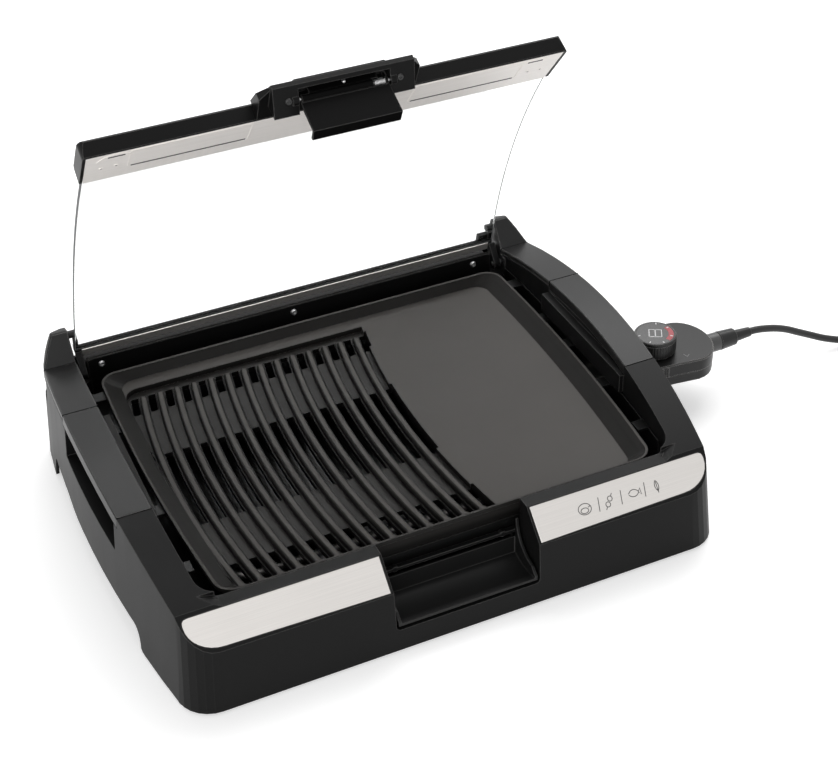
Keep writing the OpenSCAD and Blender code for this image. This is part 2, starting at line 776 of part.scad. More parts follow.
module grill_plate() {
    inner_half = plate_half - side_slope - 1.5;
    inner_front = plate_front - end_slope;
    inner_rear = plate_rear - end_slope - 1;
    corner = plate_corner - 3;
    under = 1 - 9 / plate_half;
    color([0.13, 0.13, 0.13]) union() {
        difference() {
            union() {
                translate([0, 0, rim_z - flange_t]) linear_extrude(flange_t)
                    polygon(bowed_outline(plate_half, plate_bow, plate_bow_at, plate_front,
                        plate_rear, plate_corner));
                translate([0, 0, plate_under_z]) linear_extrude(rim_z - flange_t - plate_under_z
                    + eps, scale = [(plate_half - flange_w) / (plate_half - flange_w - 11), 1.006],
                    slices = 1, $fn = 1)
                    polygon(bowed_outline(plate_half - flange_w - 11, plate_bow, plate_bow_at,
                        plate_front - 2.5, plate_rear - 2.5, plate_corner - 2));
            }
            // The hollow above the cooking surface
            translate([0, 0, cook_z]) linear_extrude(cook_depth + eps,
                scale = [(plate_half - 2) / inner_half, (plate_front - 1.6) / inner_front],
                slices = 1, $fn = 1)
                polygon(bowed_outline(inner_half, plate_bow, plate_bow_at, inner_front,
                    inner_rear, corner));
            // The sunk floor of the ribbed part
            translate([0, 0, groove_z]) linear_extrude(big) intersection() {
                polygon(bowed_outline(inner_half, plate_bow, plate_bow_at, inner_front,
                    inner_rear - 14, corner));
                translate([-plate_half, -plate_front]) square([plate_half + 60, 2 * plate_front]);
                translate(rib_centre(rib_count - 1) + [0, 0]) difference() {
                    circle(r = big * 4, $fn = 64);
                    circle(r = rib_bow - rib_w - 5, $fn = 240);
                }
            }
            for (i = [0:rib_count]) groove_slots(i);
        }
        for (i = [0:rib_count - 1]) rib(i);
    }
}

// ---------- tray ----------

module drip_tray() {
    half = notch_half - 4.5;
    front = -(well_front + 1);
    rear = front + tray_len;
    top = tray_z + tray_h;
    lip_y = -casing_front + 2;
    color([0.1, 0.1, 0.1]) {
        difference() {
            box(-half, half, front, rear, tray_z, top);
            box(-half + tray_t, half - tray_t, front + tray_t, rear - tray_t, tray_z + tray_t,
                top + 1);
        }
        // The scooped front that lies in the notch
        across(2 * half + 5) difference() {
            polygon([[front + eps, tray_z + 1], [lip_y, tray_z + 1.8], [lip_y, tray_z + 4],
                [front + eps, tray_z + 4.6]]);
            translate([(front + lip_y) / 2, tray_z + 43]) circle(r = 41, $fn = 96);
        }
        both_sides() translate([half + 1.25, 0, 0]) across(2.5) polygon(concat(
            [[front + eps, tray_z + 1.2], [lip_y, tray_z + 2], [lip_y, tray_z + 6]],
            [for (i = [0:6]) let (a = 15 * i) [front - 28 + 27 * sin(a), tray_z + 12 + 28
                * (1 - cos(a))]],
            [[front + eps, tray_z + 40]]));
    }
}

// ---------- lid ----------

// Glass section between rear edge and front, grown by gap
module glass_section(gap, v0, v1) {
    c = [glass_mid, glass_top - glass_r];
    intersection() {
        translate(c) difference() {
            circle(r = glass_r + gap, $fn = 720);
            circle(r = glass_r - glass_t - gap, $fn = 720);
        }
        translate([v0, -60]) square([v1 - v0, 120]);
    }
}

module lid_glass() {
    front_half = glass_half - glass_taper * glass_len / 260;
    color([0.8, 0.92, 0.9, 0.3]) on_lid() intersection() {
        lid_across(3 * glass_half) intersection() {
            glass_section(0, -5, glass_len);
            at_edge() translate([0.4, -big / 2]) square(big);
        }
        translate([0, 0, -60]) linear_extrude(120) polygon([[-glass_half, 2], [glass_half, 2],
            [front_half, -glass_len], [-front_half, -glass_len]]);
    }
}

// Points of the front bar's section: along is measured back from its outer front edge
function bar_point(along, down) = [bar_v - along * cos(bar_tilt) - down * sin(bar_tilt),
    along * sin(bar_tilt) - down * cos(bar_tilt)];

module bar_section(a0, a1, d0, d1) {
    polygon([bar_point(a0, d0), bar_point(a1, d0), bar_point(a1, d1), bar_point(a0, d1)]);
}

module bar_plan(half, corner) {
    translate([0, 0, -60]) linear_extrude(120) hull() for (s = [-1, 1])
        for (v = [bar_v - bar_w - 6, bar_v + 0.5 - corner])
            translate([s * (half - corner), -v]) circle(r = corner, $fn = 32);
}

module lid_front_bar() {
    color([0.08, 0.08, 0.08]) on_lid() difference() {
        intersection() {
            lid_across(2 * bar_half) polygon(concat([bar_point(0, 1.6), bar_point(1.6, 0),
                bar_point(bar_w - 2, 0), bar_point(bar_w, 2), bar_point(bar_w, bar_t),
                bar_point(0.8, bar_t), bar_point(0, bar_t - 0.8)]));
            bar_plan(bar_half, 8);
        }
        lid_across(2 * (bar_half - 2.2)) {
            glass_section(0.2, 0, glass_len + 0.4);
            bar_section(1.2, bar_w + 1, bar_t - 1.1, bar_t + 1);
        }
    }
}

module lid_liner_strip() {
    half = bar_half - 2.9;
    color([0.85, 0.84, 0.82]) on_lid() difference() {
        intersection() {
            lid_across(2 * half) bar_section(1.5, bar_w + 1, bar_t - 1, bar_t);
            bar_plan(half, 6);
        }
        lid_across(2 * bar_half) glass_section(0.2, 0, glass_len + 0.4);
    }
}

// Lower half of the handle: the block that drops into the notch, and its wider top plate
module handle_housing() {
    u = bar_v;
    block = lid_handle_half - 8;
    color([0.1, 0.1, 0.1]) on_lid() difference() {
        union() {
            lid_across(2 * block) polygon([[bar_face(2), 2], [u + 32, -12], [u + 32, -16],
                [u + 10, -27], [u + 10, -13.5], [bar_face(-13.5), -13.5]]);
            intersection() {
                lid_across(2 * lid_handle_half) polygon([[bar_face(2), 2], [u + 32, -12],
                    [u + 32, -13.5], [bar_face(-13.5), -13.5]]);
                translate([0, 0, -60]) linear_extrude(120) polygon([
                    [-lid_handle_half, -u + 6], [lid_handle_half, -u + 6],
                    [lid_handle_half, -u - 19], [block - 4, -u - 33],
                    [4 - block, -u - 33], [-lid_handle_half, -u - 19]]);
            }
            both_sides() lid_rod(3.8, flap_half + 1, flap_half + 6, latch_v, latch_w);
        }
        // Recess of the latch, its pin holes and the opening of the thumb pad
        lid_across(2 * flap_half + 2) polygon([[u + 9, -32], [u + 9, -13.5], [u + 12, -7.5],
            [u + 28.5, -14.5], [u + 28.5, -20], [u + 34, -32]]);
        lid_rod(latch_pin_r + 0.02, -flap_half - 4, flap_half + 4, latch_v, latch_w);
        lid_across(2 * flap_half + 3.4) polygon([[u + 16, -16], [u + 16, 4], [u + 28.6, 4],
            [u + 28.6, -16]]);
        for (s = [-1, 1]) handle_screw_place(s) translate([0, 0, -9]) cylinder(r = 1.6, h = 12);
    }
}

// Where the front bar's outer face lies at height w
function bar_face(w) = bar_v + w * tan(bar_tilt) + 0.1;

module lid_rod(r, x0, x1, v, w) {
    rod_x(r, x0, x1, -v, w);
}

// On the sloped underside of the handle, facing away from it
module handle_screw_place(s) {
    slope = atan2(11, 22);
    translate([s * (flap_half + 9), -bar_v - 21, -21.5]) rotate([180 - slope, 0, 0]) children();
}

module handle_screws() {
    color([0.55, 0.55, 0.55]) on_lid() for (s = [-1, 1]) handle_screw_place(s) {
        screw_head(2.9, 1.2);
        translate([0, 0, -7]) cylinder(r = 1.5, h = 7.1);
    }
}

// Frame at the glass's rear edge: along the glass and out of it
module at_edge() {
    translate([0, glass_edge_w]) rotate(edge_tilt) children();
}

// The outer clamp bar, with an ear at each end that meets the stop pin and a finger tab
module hinge_bar() {
    tab = 10;
    color([0.08, 0.08, 0.08]) on_lid() {
        lid_across(2 * clamp_half) at_edge() polygon([[-4, -5], [-1, -5], [-1, 0.8], [3, 0.8],
            [3, 4], [1.6, 5.4], [-2.5, 5.4], [-4, 4]]);
        both_sides() translate([clamp_half - stop_reach / 2, 0, 0]) lid_across(stop_reach)
            at_edge() polygon([[0, 0.8], [13, 0.8], [13, stop_face], [0, stop_face]]);
        translate([clamp_half - stop_reach - tab / 2 - seam, 0, 0]) lid_across(tab) at_edge()
            polygon([[0, 0.8], [12, 0.8], [12, 4.4], [11, 5.4], [0, 5.4]]);
    }
}

module hinge_strip() {
    color([0.85, 0.85, 0.83]) on_lid() lid_across(2 * (arm_in - 0.5)) at_edge()
        polygon([[-3.8, -6.3], [4.5, -6.3], [4.5, -5.1], [-3.8, -5.1]]);
}

module glass_gasket() {
    color([0.05, 0.05, 0.05]) on_lid() lid_across(2 * glass_half - 1) at_edge() difference() {
        translate([-0.9, -glass_t - 1]) square([6.5, glass_t + 1.7]);
        translate([0.1, -glass_t - 0.15]) square([10, glass_t + 0.3]);
    }
}

module hinge_arms() {
    color([0.1, 0.1, 0.1]) on_lid() both_sides() translate([arm_in + arm_t / 2, 0, 0])
        lid_across(arm_t) difference() {
            union() {
                translate([-edge_fwd, -edge_up]) circle(r = 6.2);
                polygon([[-edge_fwd - 5.9, -edge_up + 2], [-3.9, 0.9], [5.2, 2],
                    [-edge_fwd + 4.6, -edge_up - 4]]);
            }
            translate([-edge_fwd, -edge_up]) circle(r = pivot_r);
        }
}

module hinge_pins() {
    color([0.75, 0.75, 0.75]) both_sides()
        rod_x(pivot_r, arm_in, post_in + 12, hinge_y, hinge_z);
}

// ---------- latch ----------

module latch_lever() {
    v = latch_v;
    w = latch_w;
    lip_v = flap_v + 1.2 - lip_reach - flap_t;
    color([0.1, 0.1, 0.1]) on_lid() difference() {
        union() {
            lid_rod(barrel_r, -flap_half + 1, flap_half - 1, v, w);
            lid_across(2 * flap_half) polygon([[flap_v - flap_t / 2, w], [flap_v + flap_t / 2 + 1, w],
                [flap_v + flap_t / 2, w - 8], [flap_v + flap_t / 2, flap_w],
                [lip_v, flap_w], [lip_v, flap_w + flap_t], [flap_v - flap_t / 2, flap_w + flap_t]]);
            lid_across(2 * flap_half - 16) polygon([[v - 2, w], [v + 2, w], [v + 3, w + 9],
                [v + 3, -bar_drop(v + 3) + 1.5], [v + 0.5, -bar_drop(v + 0.5) + 1.5],
                [v - 0.5, w + 9]]);
            lid_across(2 * flap_half + 2) polygon([[v + 0.4, -1.5 - bar_drop(v + 0.4)],
                [pad_v, -1.5 - bar_drop(pad_v)], [pad_v, 1.6 - bar_drop(pad_v)],
                [pad_v - 1, 2.6 - bar_drop(pad_v - 1)], [v + 1.4, 3.2 - bar_drop(v + 1.4)]]);
        }
        lid_rod(latch_pin_r + 0.05, -flap_half, flap_half, v, w);
        lid_rod(barrel_r + 0.3, spring_x - 0.2, spring_x + spring_len + 0.2, v, w);
    }
}

// Drop of the handle's top face at distance v
function bar_drop(v) = (v - bar_v) * 14 / 32 - 2;

module latch_pin() {
    color([0.8, 0.8, 0.8]) on_lid()
        lid_rod(latch_pin_r, -flap_half - 3.9, flap_half + 3.9, latch_v, latch_w);
}

// Torsion spring wound round the pin, in a gap of the barrel
module latch_spring() {
    color([0.75, 0.75, 0.75]) on_lid() difference() {
        lid_rod(barrel_r, spring_x, spring_x + spring_len, latch_v, latch_w);
        lid_rod(latch_pin_r + 0.1, spring_x - 1, spring_x + spring_len + 1, latch_v, latch_w);
    }
}

// ---------- plug-in control ----------

function control_outline(inset) =
    let (x0 = control_x + inset, x1 = control_x + 68, r = control_len - 68 - inset,
        h = control_half - inset)
    concat([[x0, -h + 7], [x0 + 3, -h + 5.5], [x0 + 36, -h + 3]],
        [for (i = [0:14]) let (a = -90 + 180 * i / 14) [x1 - 8 + (r + 8) * cos(a), h * sin(a)]],
        [[x0 + 36, h - 3], [x0 + 3, h - 5.5], [x0, h - 7]]);

module control_screw_places() {
    for (p = [[14, 17], [14, -17], [66, 15], [66, -15]])
        translate([control_x + p[0], p[1], 0]) children();
}

module control_housing_top() {
    color([0.1, 0.1, 0.1]) difference() {
        union() {
            translate([0, 0, split_z]) linear_extrude(control_top_z - split_z - 1)
                polygon(control_outline(0));
            translate([0, 0, control_top_z - 1 - eps]) linear_extrude(1)
                polygon(control_outline(1));
            for (s = [-1, 1]) for (i = [0:3]) translate([control_x + 11 + 5.5 * i,
                s * (control_half - 5.4 + 0.07 * 5.5 * i), control_base_z + 2])
                rotate([0, 0, 0]) cylinder(r = 1.3, h = control_h - 3.5, $fn = 16);
        }
        translate([0, 0, split_z - 1]) linear_extrude(control_top_z - split_z - 1)
            polygon(control_outline(shell_t + 1));
        for (s = [-1, 1]) box(control_x + 5, control_x + 34, s > 0 ? control_half - 9 : -big,
            s > 0 ? big : -control_half + 9, 0, split_z - eps);
        translate([knob_x, 0, split_z]) cylinder(r = 4.2, h = big);
        for (y = [-pin_y, pin_y]) rod_x(sleeve_r + 0.1, control_x - 1, control_x + 5, y, pin_z);
        rod_x(probe_r + 0.1, control_x - 1, control_x + 5, 0, pin_z);
        rod_x(cord_d / 2 + 1.6, control_x + control_len - 12, relief_x, 0, cord_exit_z);
        rod_x(ring_r + 0.05, ring_x - 0.1, relief_x, 0, cord_exit_z);
    }
}

module control_housing_base() {
    color([0.09, 0.09, 0.09]) difference() {
        union() {
            translate([0, 0, control_base_z + 1]) linear_extrude(split_z - control_base_z - 1.15)
                polygon(control_outline(0.2));
            translate([0, 0, control_base_z]) linear_extrude(1 + eps)
                polygon(control_outline(1.2));
        }
        translate([0, 0, control_base_z + shell_t]) linear_extrude(control_h)
            polygon(control_outline(shell_t + 1));
        control_screw_places() translate([0, 0, control_base_z - 1]) cylinder(r = 1.6, h = 8);
        rod_x(cord_d / 2 + 1.6, control_x + control_len - 12, relief_x, 0, cord_exit_z);
        rod_x(ring_r + 0.05, ring_x - 0.1, relief_x, 0, cord_exit_z);
    }
}

module control_screws() {
    color([0.7, 0.7, 0.7]) control_screw_places() translate([0, 0, control_base_z])
        rotate([180, 0, 0]) screw_head(2.6, 1);
}

module control_knob() {
    r = knob_d / 2;
    z0 = control_top_z + 0.5;
    color([0.07, 0.07, 0.07]) translate([knob_x, 0, 0]) difference() {
        union() {
            rotate_extrude($fn = 96) polygon([[0, z0], [r - 1.6, z0], [r - 1, z0 + 1],
                [r - 0.3, knob_top_z - 2], [r - 0.3, knob_top_z - 0.9], [r - 1.2, knob_top_z],
                [0, knob_top_z]]);
            translate([0, 0, split_z + 3]) cylinder(r = 4, h = z0 - split_z - 2.5);
            for (i = [0:2]) rotate([0, 0, -90 + (i - 1) * 22]) translate([r - 1.3, 0, z0 + 1])
                cylinder(r = 1.2, h = knob_top_z - z0 - 5, $fn = 16);
        }
        translate([0, 0, knob_top_z - 0.8]) cylinder(r = r - 2, h = 2, $fn = 96);
    }
}

module dial_disc() {
    color([0.12, 0.12, 0.12]) translate([knob_x, 0, knob_top_z - 0.8])
        cylinder(r = knob_d / 2 - 2.15, h = 0.7, $fn = 96);
}

module probe_rod() {
    color([0.8, 0.8, 0.8]) {
        rod_x(probe_r, plate_half + 10, control_x + 12, 0, pin_z);
        translate([plate_half + 10, 0, pin_z]) sphere(r = probe_r);
    }
}

module contact_sleeves() {
    color([0.7, 0.6, 0.3]) for (y = [-pin_y, pin_y]) difference() {
        rod_x(sleeve_r, control_x - 20, control_x + 14, y, pin_z);
        rod_x(pin_r + pin_clear, control_x - 21, control_x + 15, y, pin_z);
    }
}

module cord_ring() {
    color([0.5, 0.5, 0.5]) difference() {
        rod_x(ring_r, ring_x, relief_x, 0, cord_exit_z);
        rod_x(cord_d / 2 + 1.7, control_x + control_len - 5, relief_x + 1, 0, cord_exit_z);
    }
}

// Strain relief: a short stepped sleeve that narrows to the lead
module strain_relief() {
    r = cord_d / 2;
    color([0.08, 0.08, 0.08]) difference() {
        translate([control_x + control_len - 9, 0, cord_exit_z]) rotate([0, 90, 0])
            rotate_extrude() polygon([[0, 0], [r + 1.5, 0], [r + 1.5, 21.3], [r + 5.6, 21.3],
                [r + 4.6, 38], [r + 2.2, 39], [r + 1.1, 55.6], [0, 55.6]]);
        rod_x(r, control_x + control_len - 11, big, 0, cord_exit_z);
    }
}

// ---------- cord ----------

function cross3(a, b) = [a[1] * b[2] - a[2] * b[1], a[2] * b[0] - a[0] * b[2],
    a[0] * b[1] - a[1] * b[0]];
function unit(v) = v / norm(v);
// A smooth curve through four points
function blend4(a, b, c, d, t) = 0.5 * (2 * b + (c - a) * t + (2 * a - 5 * b + 4 * c - d) * t * t
    + (3 * b - a - 3 * c + d) * t * t * t);
function smooth(path, per) = let (n = len(path) - 1) concat([for (i = [0:n - 1]) for (k = [0:per - 1])
    blend4(path[max(i - 1, 0)], path[i], path[i + 1], path[min(i + 2, n)], k / per)], [path[n]]);

// One closed tube along a path
module tube(path, r, sides) {
    n = len(path);
    rings = [for (i = [0:n - 1]) let (t = unit(path[min(i + 1, n - 1)] - path[max(i - 1, 0)]),
        s = unit(cross3([0, 0, 1], t)), u = cross3(t, s))
        [for (k = [0:sides - 1]) let (a = 360 * k / sides) path[i] + r * (cos(a) * s + sin(a) * u)]];
    points = [for (ring = rings) for (p = ring) p];
    faces = concat([[for (k = [0:sides - 1]) k]],
        [[for (k = [sides - 1:-1:0]) (n - 1) * sides + k]],
        [for (i = [0:n - 2]) for (k = [0:sides - 1]) let (a = i * sides + k,
            b = i * sides + (k + 1) % sides) [a, a + sides, b + sides, b]]);
    polyhedron(points, faces, convexity = 4);
}

module cord_lead() {
    color([0.06, 0.06, 0.06]) tube(smooth(lead_path, 2), cord_d / 2, 8);
}

module cord_tail() {
    color([0.06, 0.06, 0.06]) tube(smooth(tail_path, 2), cord_d / 2, 8);
}

module cord_coil() {
    w = coil_cols * cord_d;
    h = coil_rows * cord_d;
    color([0.06, 0.06, 0.06]) translate([coil_at[0], coil_at[1], 0]) rotate_extrude()
        translate([coil_r - w / 2, 0.1]) square([w, h]);
}

module coil_tie() {
    w = coil_cols * cord_d + 0.6;
    h = coil_rows * cord_d;
    color([0.1, 0.1, 0.1]) translate([coil_at[0] + coil_r, coil_at[1], 0])
        rotate([90, 0, 0]) linear_extrude(9, center = true) difference() {
            translate([-w / 2 - 1, 0.15]) square([w + 2, h + 1.2]);
            translate([-w / 2, -1]) square([w, h + 1.4]);
        }
}

module plug() {
    r = 18;
    color([0.07, 0.07, 0.07]) translate(plug_at) rotate([0, 90, 0]) {
        rotate_extrude() polygon([[0, 0], [5.2, 0], [6.4, 12], [10, 22], [14.5, 30],
            [r - 0.5, 34], [r - 0.5, 50], [0, 50]]);
        for (s = [-1, 1]) translate([0, s * 9.5, 49]) cylinder(r = 2.4, h = 20);
    }
}

placed() base_housing();
placed() mirror([1, 0, 0]) rear_rail_right();  // rear_rail_left
placed() rear_rail_right();
placed() mirror([1, 0, 0]) handle_right();  // handle_left
placed() handle_right();
placed() mirror([1, 0, 0]) hinge_post_right();  // hinge_post_left
placed() hinge_post_right();
placed() mirror([1, 0, 0]) trim_plate_right();  // trim_plate_left
placed() trim_plate_right();
placed() heat_shield();
placed() liner_screws();
placed() heating_element();
placed() element_clips();
placed() terminal_pins();
placed() probe_receptacle();
placed() latch_catch();
placed() tray_rails();
placed() bottom_plate();
placed() bottom_screws();
placed() feet();
placed() lid_stop_pins();
placed() grill_plate();
placed() drip_tray();
placed() lid_glass();
placed() lid_front_bar();
placed() lid_liner_strip();
placed() handle_housing();
placed() handle_screws();
placed() hinge_bar();
placed() hinge_strip();
placed() glass_gasket();
placed() hinge_arms();
placed() hinge_pins();
placed() latch_lever();
placed() latch_pin();
placed() latch_spring();
placed() control_housing_top();
placed() control_housing_base();
placed() control_screws();
placed() probe_rod();
placed() contact_sleeves();
placed() control_knob();
placed() dial_disc();
placed() cord_ring();
placed() strain_relief();
placed() cord_lead();
placed() cord_coil();
placed() cord_tail();
placed() coil_tie();
placed() plug();
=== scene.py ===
"""Electric indoor grill with a hinged glass lid: the finish of its pieces and its mains lead.

Metres, +Z up. Places are given to at() in millimetres about the middle of the grill plate.
"""
import json

import bmesh
import bpy
import numpy as np
from mathutils import Matrix, Vector


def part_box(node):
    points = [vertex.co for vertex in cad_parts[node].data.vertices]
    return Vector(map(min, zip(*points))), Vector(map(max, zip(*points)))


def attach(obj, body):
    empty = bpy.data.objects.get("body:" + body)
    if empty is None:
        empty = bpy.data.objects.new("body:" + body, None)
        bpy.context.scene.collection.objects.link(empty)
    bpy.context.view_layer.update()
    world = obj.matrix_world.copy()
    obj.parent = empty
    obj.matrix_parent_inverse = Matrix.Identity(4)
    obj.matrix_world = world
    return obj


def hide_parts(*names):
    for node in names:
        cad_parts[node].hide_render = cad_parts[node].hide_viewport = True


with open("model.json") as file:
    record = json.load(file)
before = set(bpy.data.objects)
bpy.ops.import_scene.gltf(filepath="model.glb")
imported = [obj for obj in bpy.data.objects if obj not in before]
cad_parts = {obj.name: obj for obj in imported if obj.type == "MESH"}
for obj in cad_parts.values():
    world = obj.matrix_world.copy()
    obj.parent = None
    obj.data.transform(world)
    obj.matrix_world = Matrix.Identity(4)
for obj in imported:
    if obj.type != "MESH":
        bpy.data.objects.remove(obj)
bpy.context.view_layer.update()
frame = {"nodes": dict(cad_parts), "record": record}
scene = bpy.context.scene
scene.view_settings.view_transform = "Standard"

# ---- Camera -------------------------------------------------------------------------------
# It stands before the left front corner, a little above the open lid, and looks down at it.
# PLATE_FRONT is how far the front edge of the grill plate lies before its middle.

MM = 0.001
PLATE_LOW, PLATE_HIGH = (np.array(corner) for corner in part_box("grill_plate"))
PLATE_FRONT = 154
CAMERA_AT = (-378.892, -998.694, 894.659)
CAMERA_RIGHT = (0.911400699, -0.410519834, -0.028674599)
CAMERA_UP = (0.264813234, 0.531724946, 0.804451697)
FILM_WIDTH = 36
LENS = 68.42
SEES_TO = 20


def at(x, y, z):
    """Millimetres about the plate's middle and above the table, as points of the row frame."""
    origin = [(PLATE_LOW[0] + PLATE_HIGH[0]) / 2, PLATE_LOW[1] + PLATE_FRONT * MM, 0]
    return np.array(origin) + MM * np.stack(np.broadcast_arrays(x, y, z), -1)


camera_data = bpy.data.cameras.new("camera")
camera_data.sensor_width = FILM_WIDTH
camera_data.lens = LENS
camera_data.clip_end = SEES_TO
camera = bpy.data.objects.new("camera", camera_data)
turn = np.eye(4)
turn[:3, :3] = np.column_stack([CAMERA_RIGHT, CAMERA_UP, np.cross(CAMERA_RIGHT, CAMERA_UP)])
turn[:3, 3] = at(*CAMERA_AT)
camera.matrix_world = Matrix(turn.tolist())
scene.collection.objects.link(camera)
scene.camera = camera

# ---- Mains lead ---------------------------------------------------------------------------
# A round lead in black flexible sheath. It hangs from the strain relief to the table, lies
# there in a tied coil of six turns, and ends in its moulded plug.

CORD_D = 6.8
CORD_SIDES = 14
CORD_STEP = 2.0
LEAD_PATH = [(381.6, 0, 45), (388, 0, 44.7), (396, 0, 43.5), (410, 0, 40), (424, 0, 34.5),
             (438, -1, 27.5), (452, -2, 20.5), (466, -4, 14), (480, -6, 9), (494, -8.5, 5.5),
             (508, -11, 3.9)]
COIL_AT = (540, -56)
COIL_RADII = (44.3, 37.5, 30.7)
COIL_LEVELS = (0.52, 1.55)
COIL_STEP = 0.2
COIL_STARTS_AT = 97
COIL_ENDS_AT = 45
COIL_POINTS = 170
TAIL_PATH = [(578, -32, 8.6), (585.5, -39.5, 6), (593.5, -46.5, 4.6), (602.5, -52.3, 5.2),
             (613, -57, 8.6), (624, -60.3, 13.2), (635, -62.2, 16.9), (646, -62.5, 18)]
SHARP_FROM = np.radians(40)


def linked(name, mesh, body, material):
    """Puts a mesh into the scene as a piece of one material that rides on a body."""
    mesh.materials.append(material)
    piece = bpy.data.objects.new(name, mesh)
    scene.collection.objects.link(piece)
    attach(piece, body)
    return piece


def skin(name, *grids):
    """One mesh over grids of points: rows along each shape, columns round it, and a face over
    each end. Its faces point outwards."""
    faces, start = [], 0
    for points in grids:
        index = start + np.arange(points[..., 0].size).reshape(points.shape[:2])
        ring = np.hstack([index, index[:, :1]])
        quads = np.stack([ring[:-1, :-1], ring[:-1, 1:], ring[1:, 1:], ring[1:, :-1]], -1)
        faces += quads.reshape(-1, 4).tolist() + [index[0, ::-1].tolist(), index[-1].tolist()]
        start += index.size
    mesh = bpy.data.meshes.new(name)
    mesh.from_pydata(np.vstack([points.reshape(-1, 3) for points in grids]).tolist(), [], faces)
    shape = bmesh.new()
    shape.from_mesh(mesh)
    bmesh.ops.recalc_face_normals(shape, faces=shape.faces)
    shape.to_mesh(mesh)
    shape.free()
    mesh.shade_smooth()
    mesh.set_sharp_from_angle(angle=SHARP_FROM)
    return mesh


def smooth_path(points, step):
    """A curve through the points: cubic pieces whose slope at a point joins its neighbours,
    then places spaced step apart along it."""
    points = np.asarray(points, float)
    ends = np.vstack([2 * points[0] - points[1], points, 2 * points[-1] - points[-2]])
    a, b, c, d = (ends[i:len(ends) - 3 + i, None] for i in range(4))
    t = np.linspace(0, 1, 12, endpoint=False)[None, :, None]
    curve = (2 * b + (c - a) * t + (2 * a - 5 * b + 4 * c - d) * t ** 2
             + (3 * b - a - 3 * c + d) * t ** 3) / 2
    curve = np.vstack([curve.reshape(-1, 3), points[-1]])
    run = np.concatenate([[0], np.cumsum(np.linalg.norm(np.diff(curve, axis=0), axis=1))])
    places = np.linspace(0, run[-1], int(run[-1] / step) + 1)
    return np.stack([np.interp(places, run, curve[:, i]) for i in range(3)], -1)


def rings(path, radius, sides):
    """A ring of points round each point of a path: the radius times the cosine of an angle to
    one side of the path, plus the radius times its sine over it, both square to the path."""
    along = np.gradient(path, axis=0)
    along /= np.linalg.norm(along, axis=1, keepdims=True)
    upright = np.abs(along[:, 2:]) < 0.95
    side = np.cross(np.where(upright, [0.0, 0.0, 1.0], [1.0, 0.0, 0.0]), along)
    side /= np.linalg.norm(side, axis=1, keepdims=True)
    over = np.cross(along, side)
    angle = np.linspace(0, 2 * np.pi, sides, endpoint=False)[None, :, None]
    reach = np.reshape(radius, (-1, 1, 1)) * np.ones((len(path), 1, 1))
    return path[:, None] + reach * (np.cos(angle) * side[:, None] + np.sin(angle) * over[:, None])


def coil_turns():
    """Turns flat on the table from the outside in, then as many on top of them back out. The
    angle runs clockwise, and radius and height step over the last fifth of each turn."""
    start, end = np.radians([COIL_STARTS_AT, COIL_ENDS_AT])
    radii = np.array(COIL_RADII + COIL_RADII[::-1])
    levels = CORD_D * np.repeat(COIL_LEVELS, len(COIL_RADII))
    turned = np.linspace(0, len(radii) - 1 + (start - end) / (2 * np.pi), COIL_POINTS)
    place = np.floor(turned) + np.clip(1 - (1 - turned % 1) / COIL_STEP, 0, 1)
    radius = np.interp(place, np.arange(len(radii)), radii)
    height = np.interp(place, np.arange(len(radii)), levels)
    angle = start - 2 * np.pi * turned
    return np.stack([COIL_AT[0] + radius * np.cos(angle), COIL_AT[1] + radius * np.sin(angle), height], -1)


def add(tree, kind, settings=None, **inputs):
    """One shader node: settings are its own, inputs its sockets, each a number or an output.
    An input called i0 or i6 is the socket of that number."""
    made = tree.nodes.new("ShaderNode" + kind)
    for key, value in (settings or {}).items():
        setattr(made, key, value)
    for key, value in inputs.items():
        numbered = key[0] == "i" and key[1:].isdigit()
        socket = made.inputs[int(key[1:]) if numbered else key.replace("_", " ")]
        if isinstance(value, bpy.types.NodeSocket):
            tree.links.new(value, socket)
        else:
            socket.default_value = value
    return made


def shader_group(name, inputs, outputs):
    """An empty node group: inputs are names with a kind and a value, outputs names with a kind."""
    tree = bpy.data.node_groups.new(name, "ShaderNodeTree")
    for label, kind, value in inputs:
        socket = tree.interface.new_socket(label, in_out="INPUT", socket_type="NodeSocket" + kind)
        socket.default_value = value
    for label, kind in outputs:
        tree.interface.new_socket(label, in_out="OUTPUT", socket_type="NodeSocket" + kind)
    return tree, tree.nodes.new("NodeGroupInput").outputs, tree.nodes.new("NodeGroupOutput").inputs


def put_out(tree, get, **results):
    """Leads each result to the group's output of that name."""
    for label, result in results.items():
        tree.links.new(result, get[label])


def noise(tree, where, per_metre, detail=3.0):
    """Soft noise with so many cells a metre."""
    return add(tree, "TexNoise", Vector=where, Scale=per_metre, Detail=detail).outputs["Fac"]


def ranged(tree, value, low, high, start=0.0, stop=1.0):
    """Runs from low to high while the value runs from start to stop."""
    made = add(tree, "MapRange", Value=value, From_Min=start, From_Max=stop, To_Min=low, To_Max=high)
    return made.outputs["Result"]


def joined(tree, operation, *numbers):
    """Numbers taken together by one operation of the Math node, one after another."""
    result = numbers[0]
    for number in numbers[1:]:
        result = add(tree, "Math", {"operation": operation}, i0=result, i1=number).outputs["Value"]
    return result


def shaded(tree, colour, shade):
    """A colour made darker or lighter by a factor."""
    return add(tree, "VectorMath", {"operation": "SCALE"}, i0=colour, Scale=shade).outputs["Vector"]


def blended(tree, factor, first, second):
    """Two colours mixed by a factor."""
    return add(tree, "Mix", {"data_type": "RGBA"}, i0=factor, i6=first, i7=second).outputs[2]


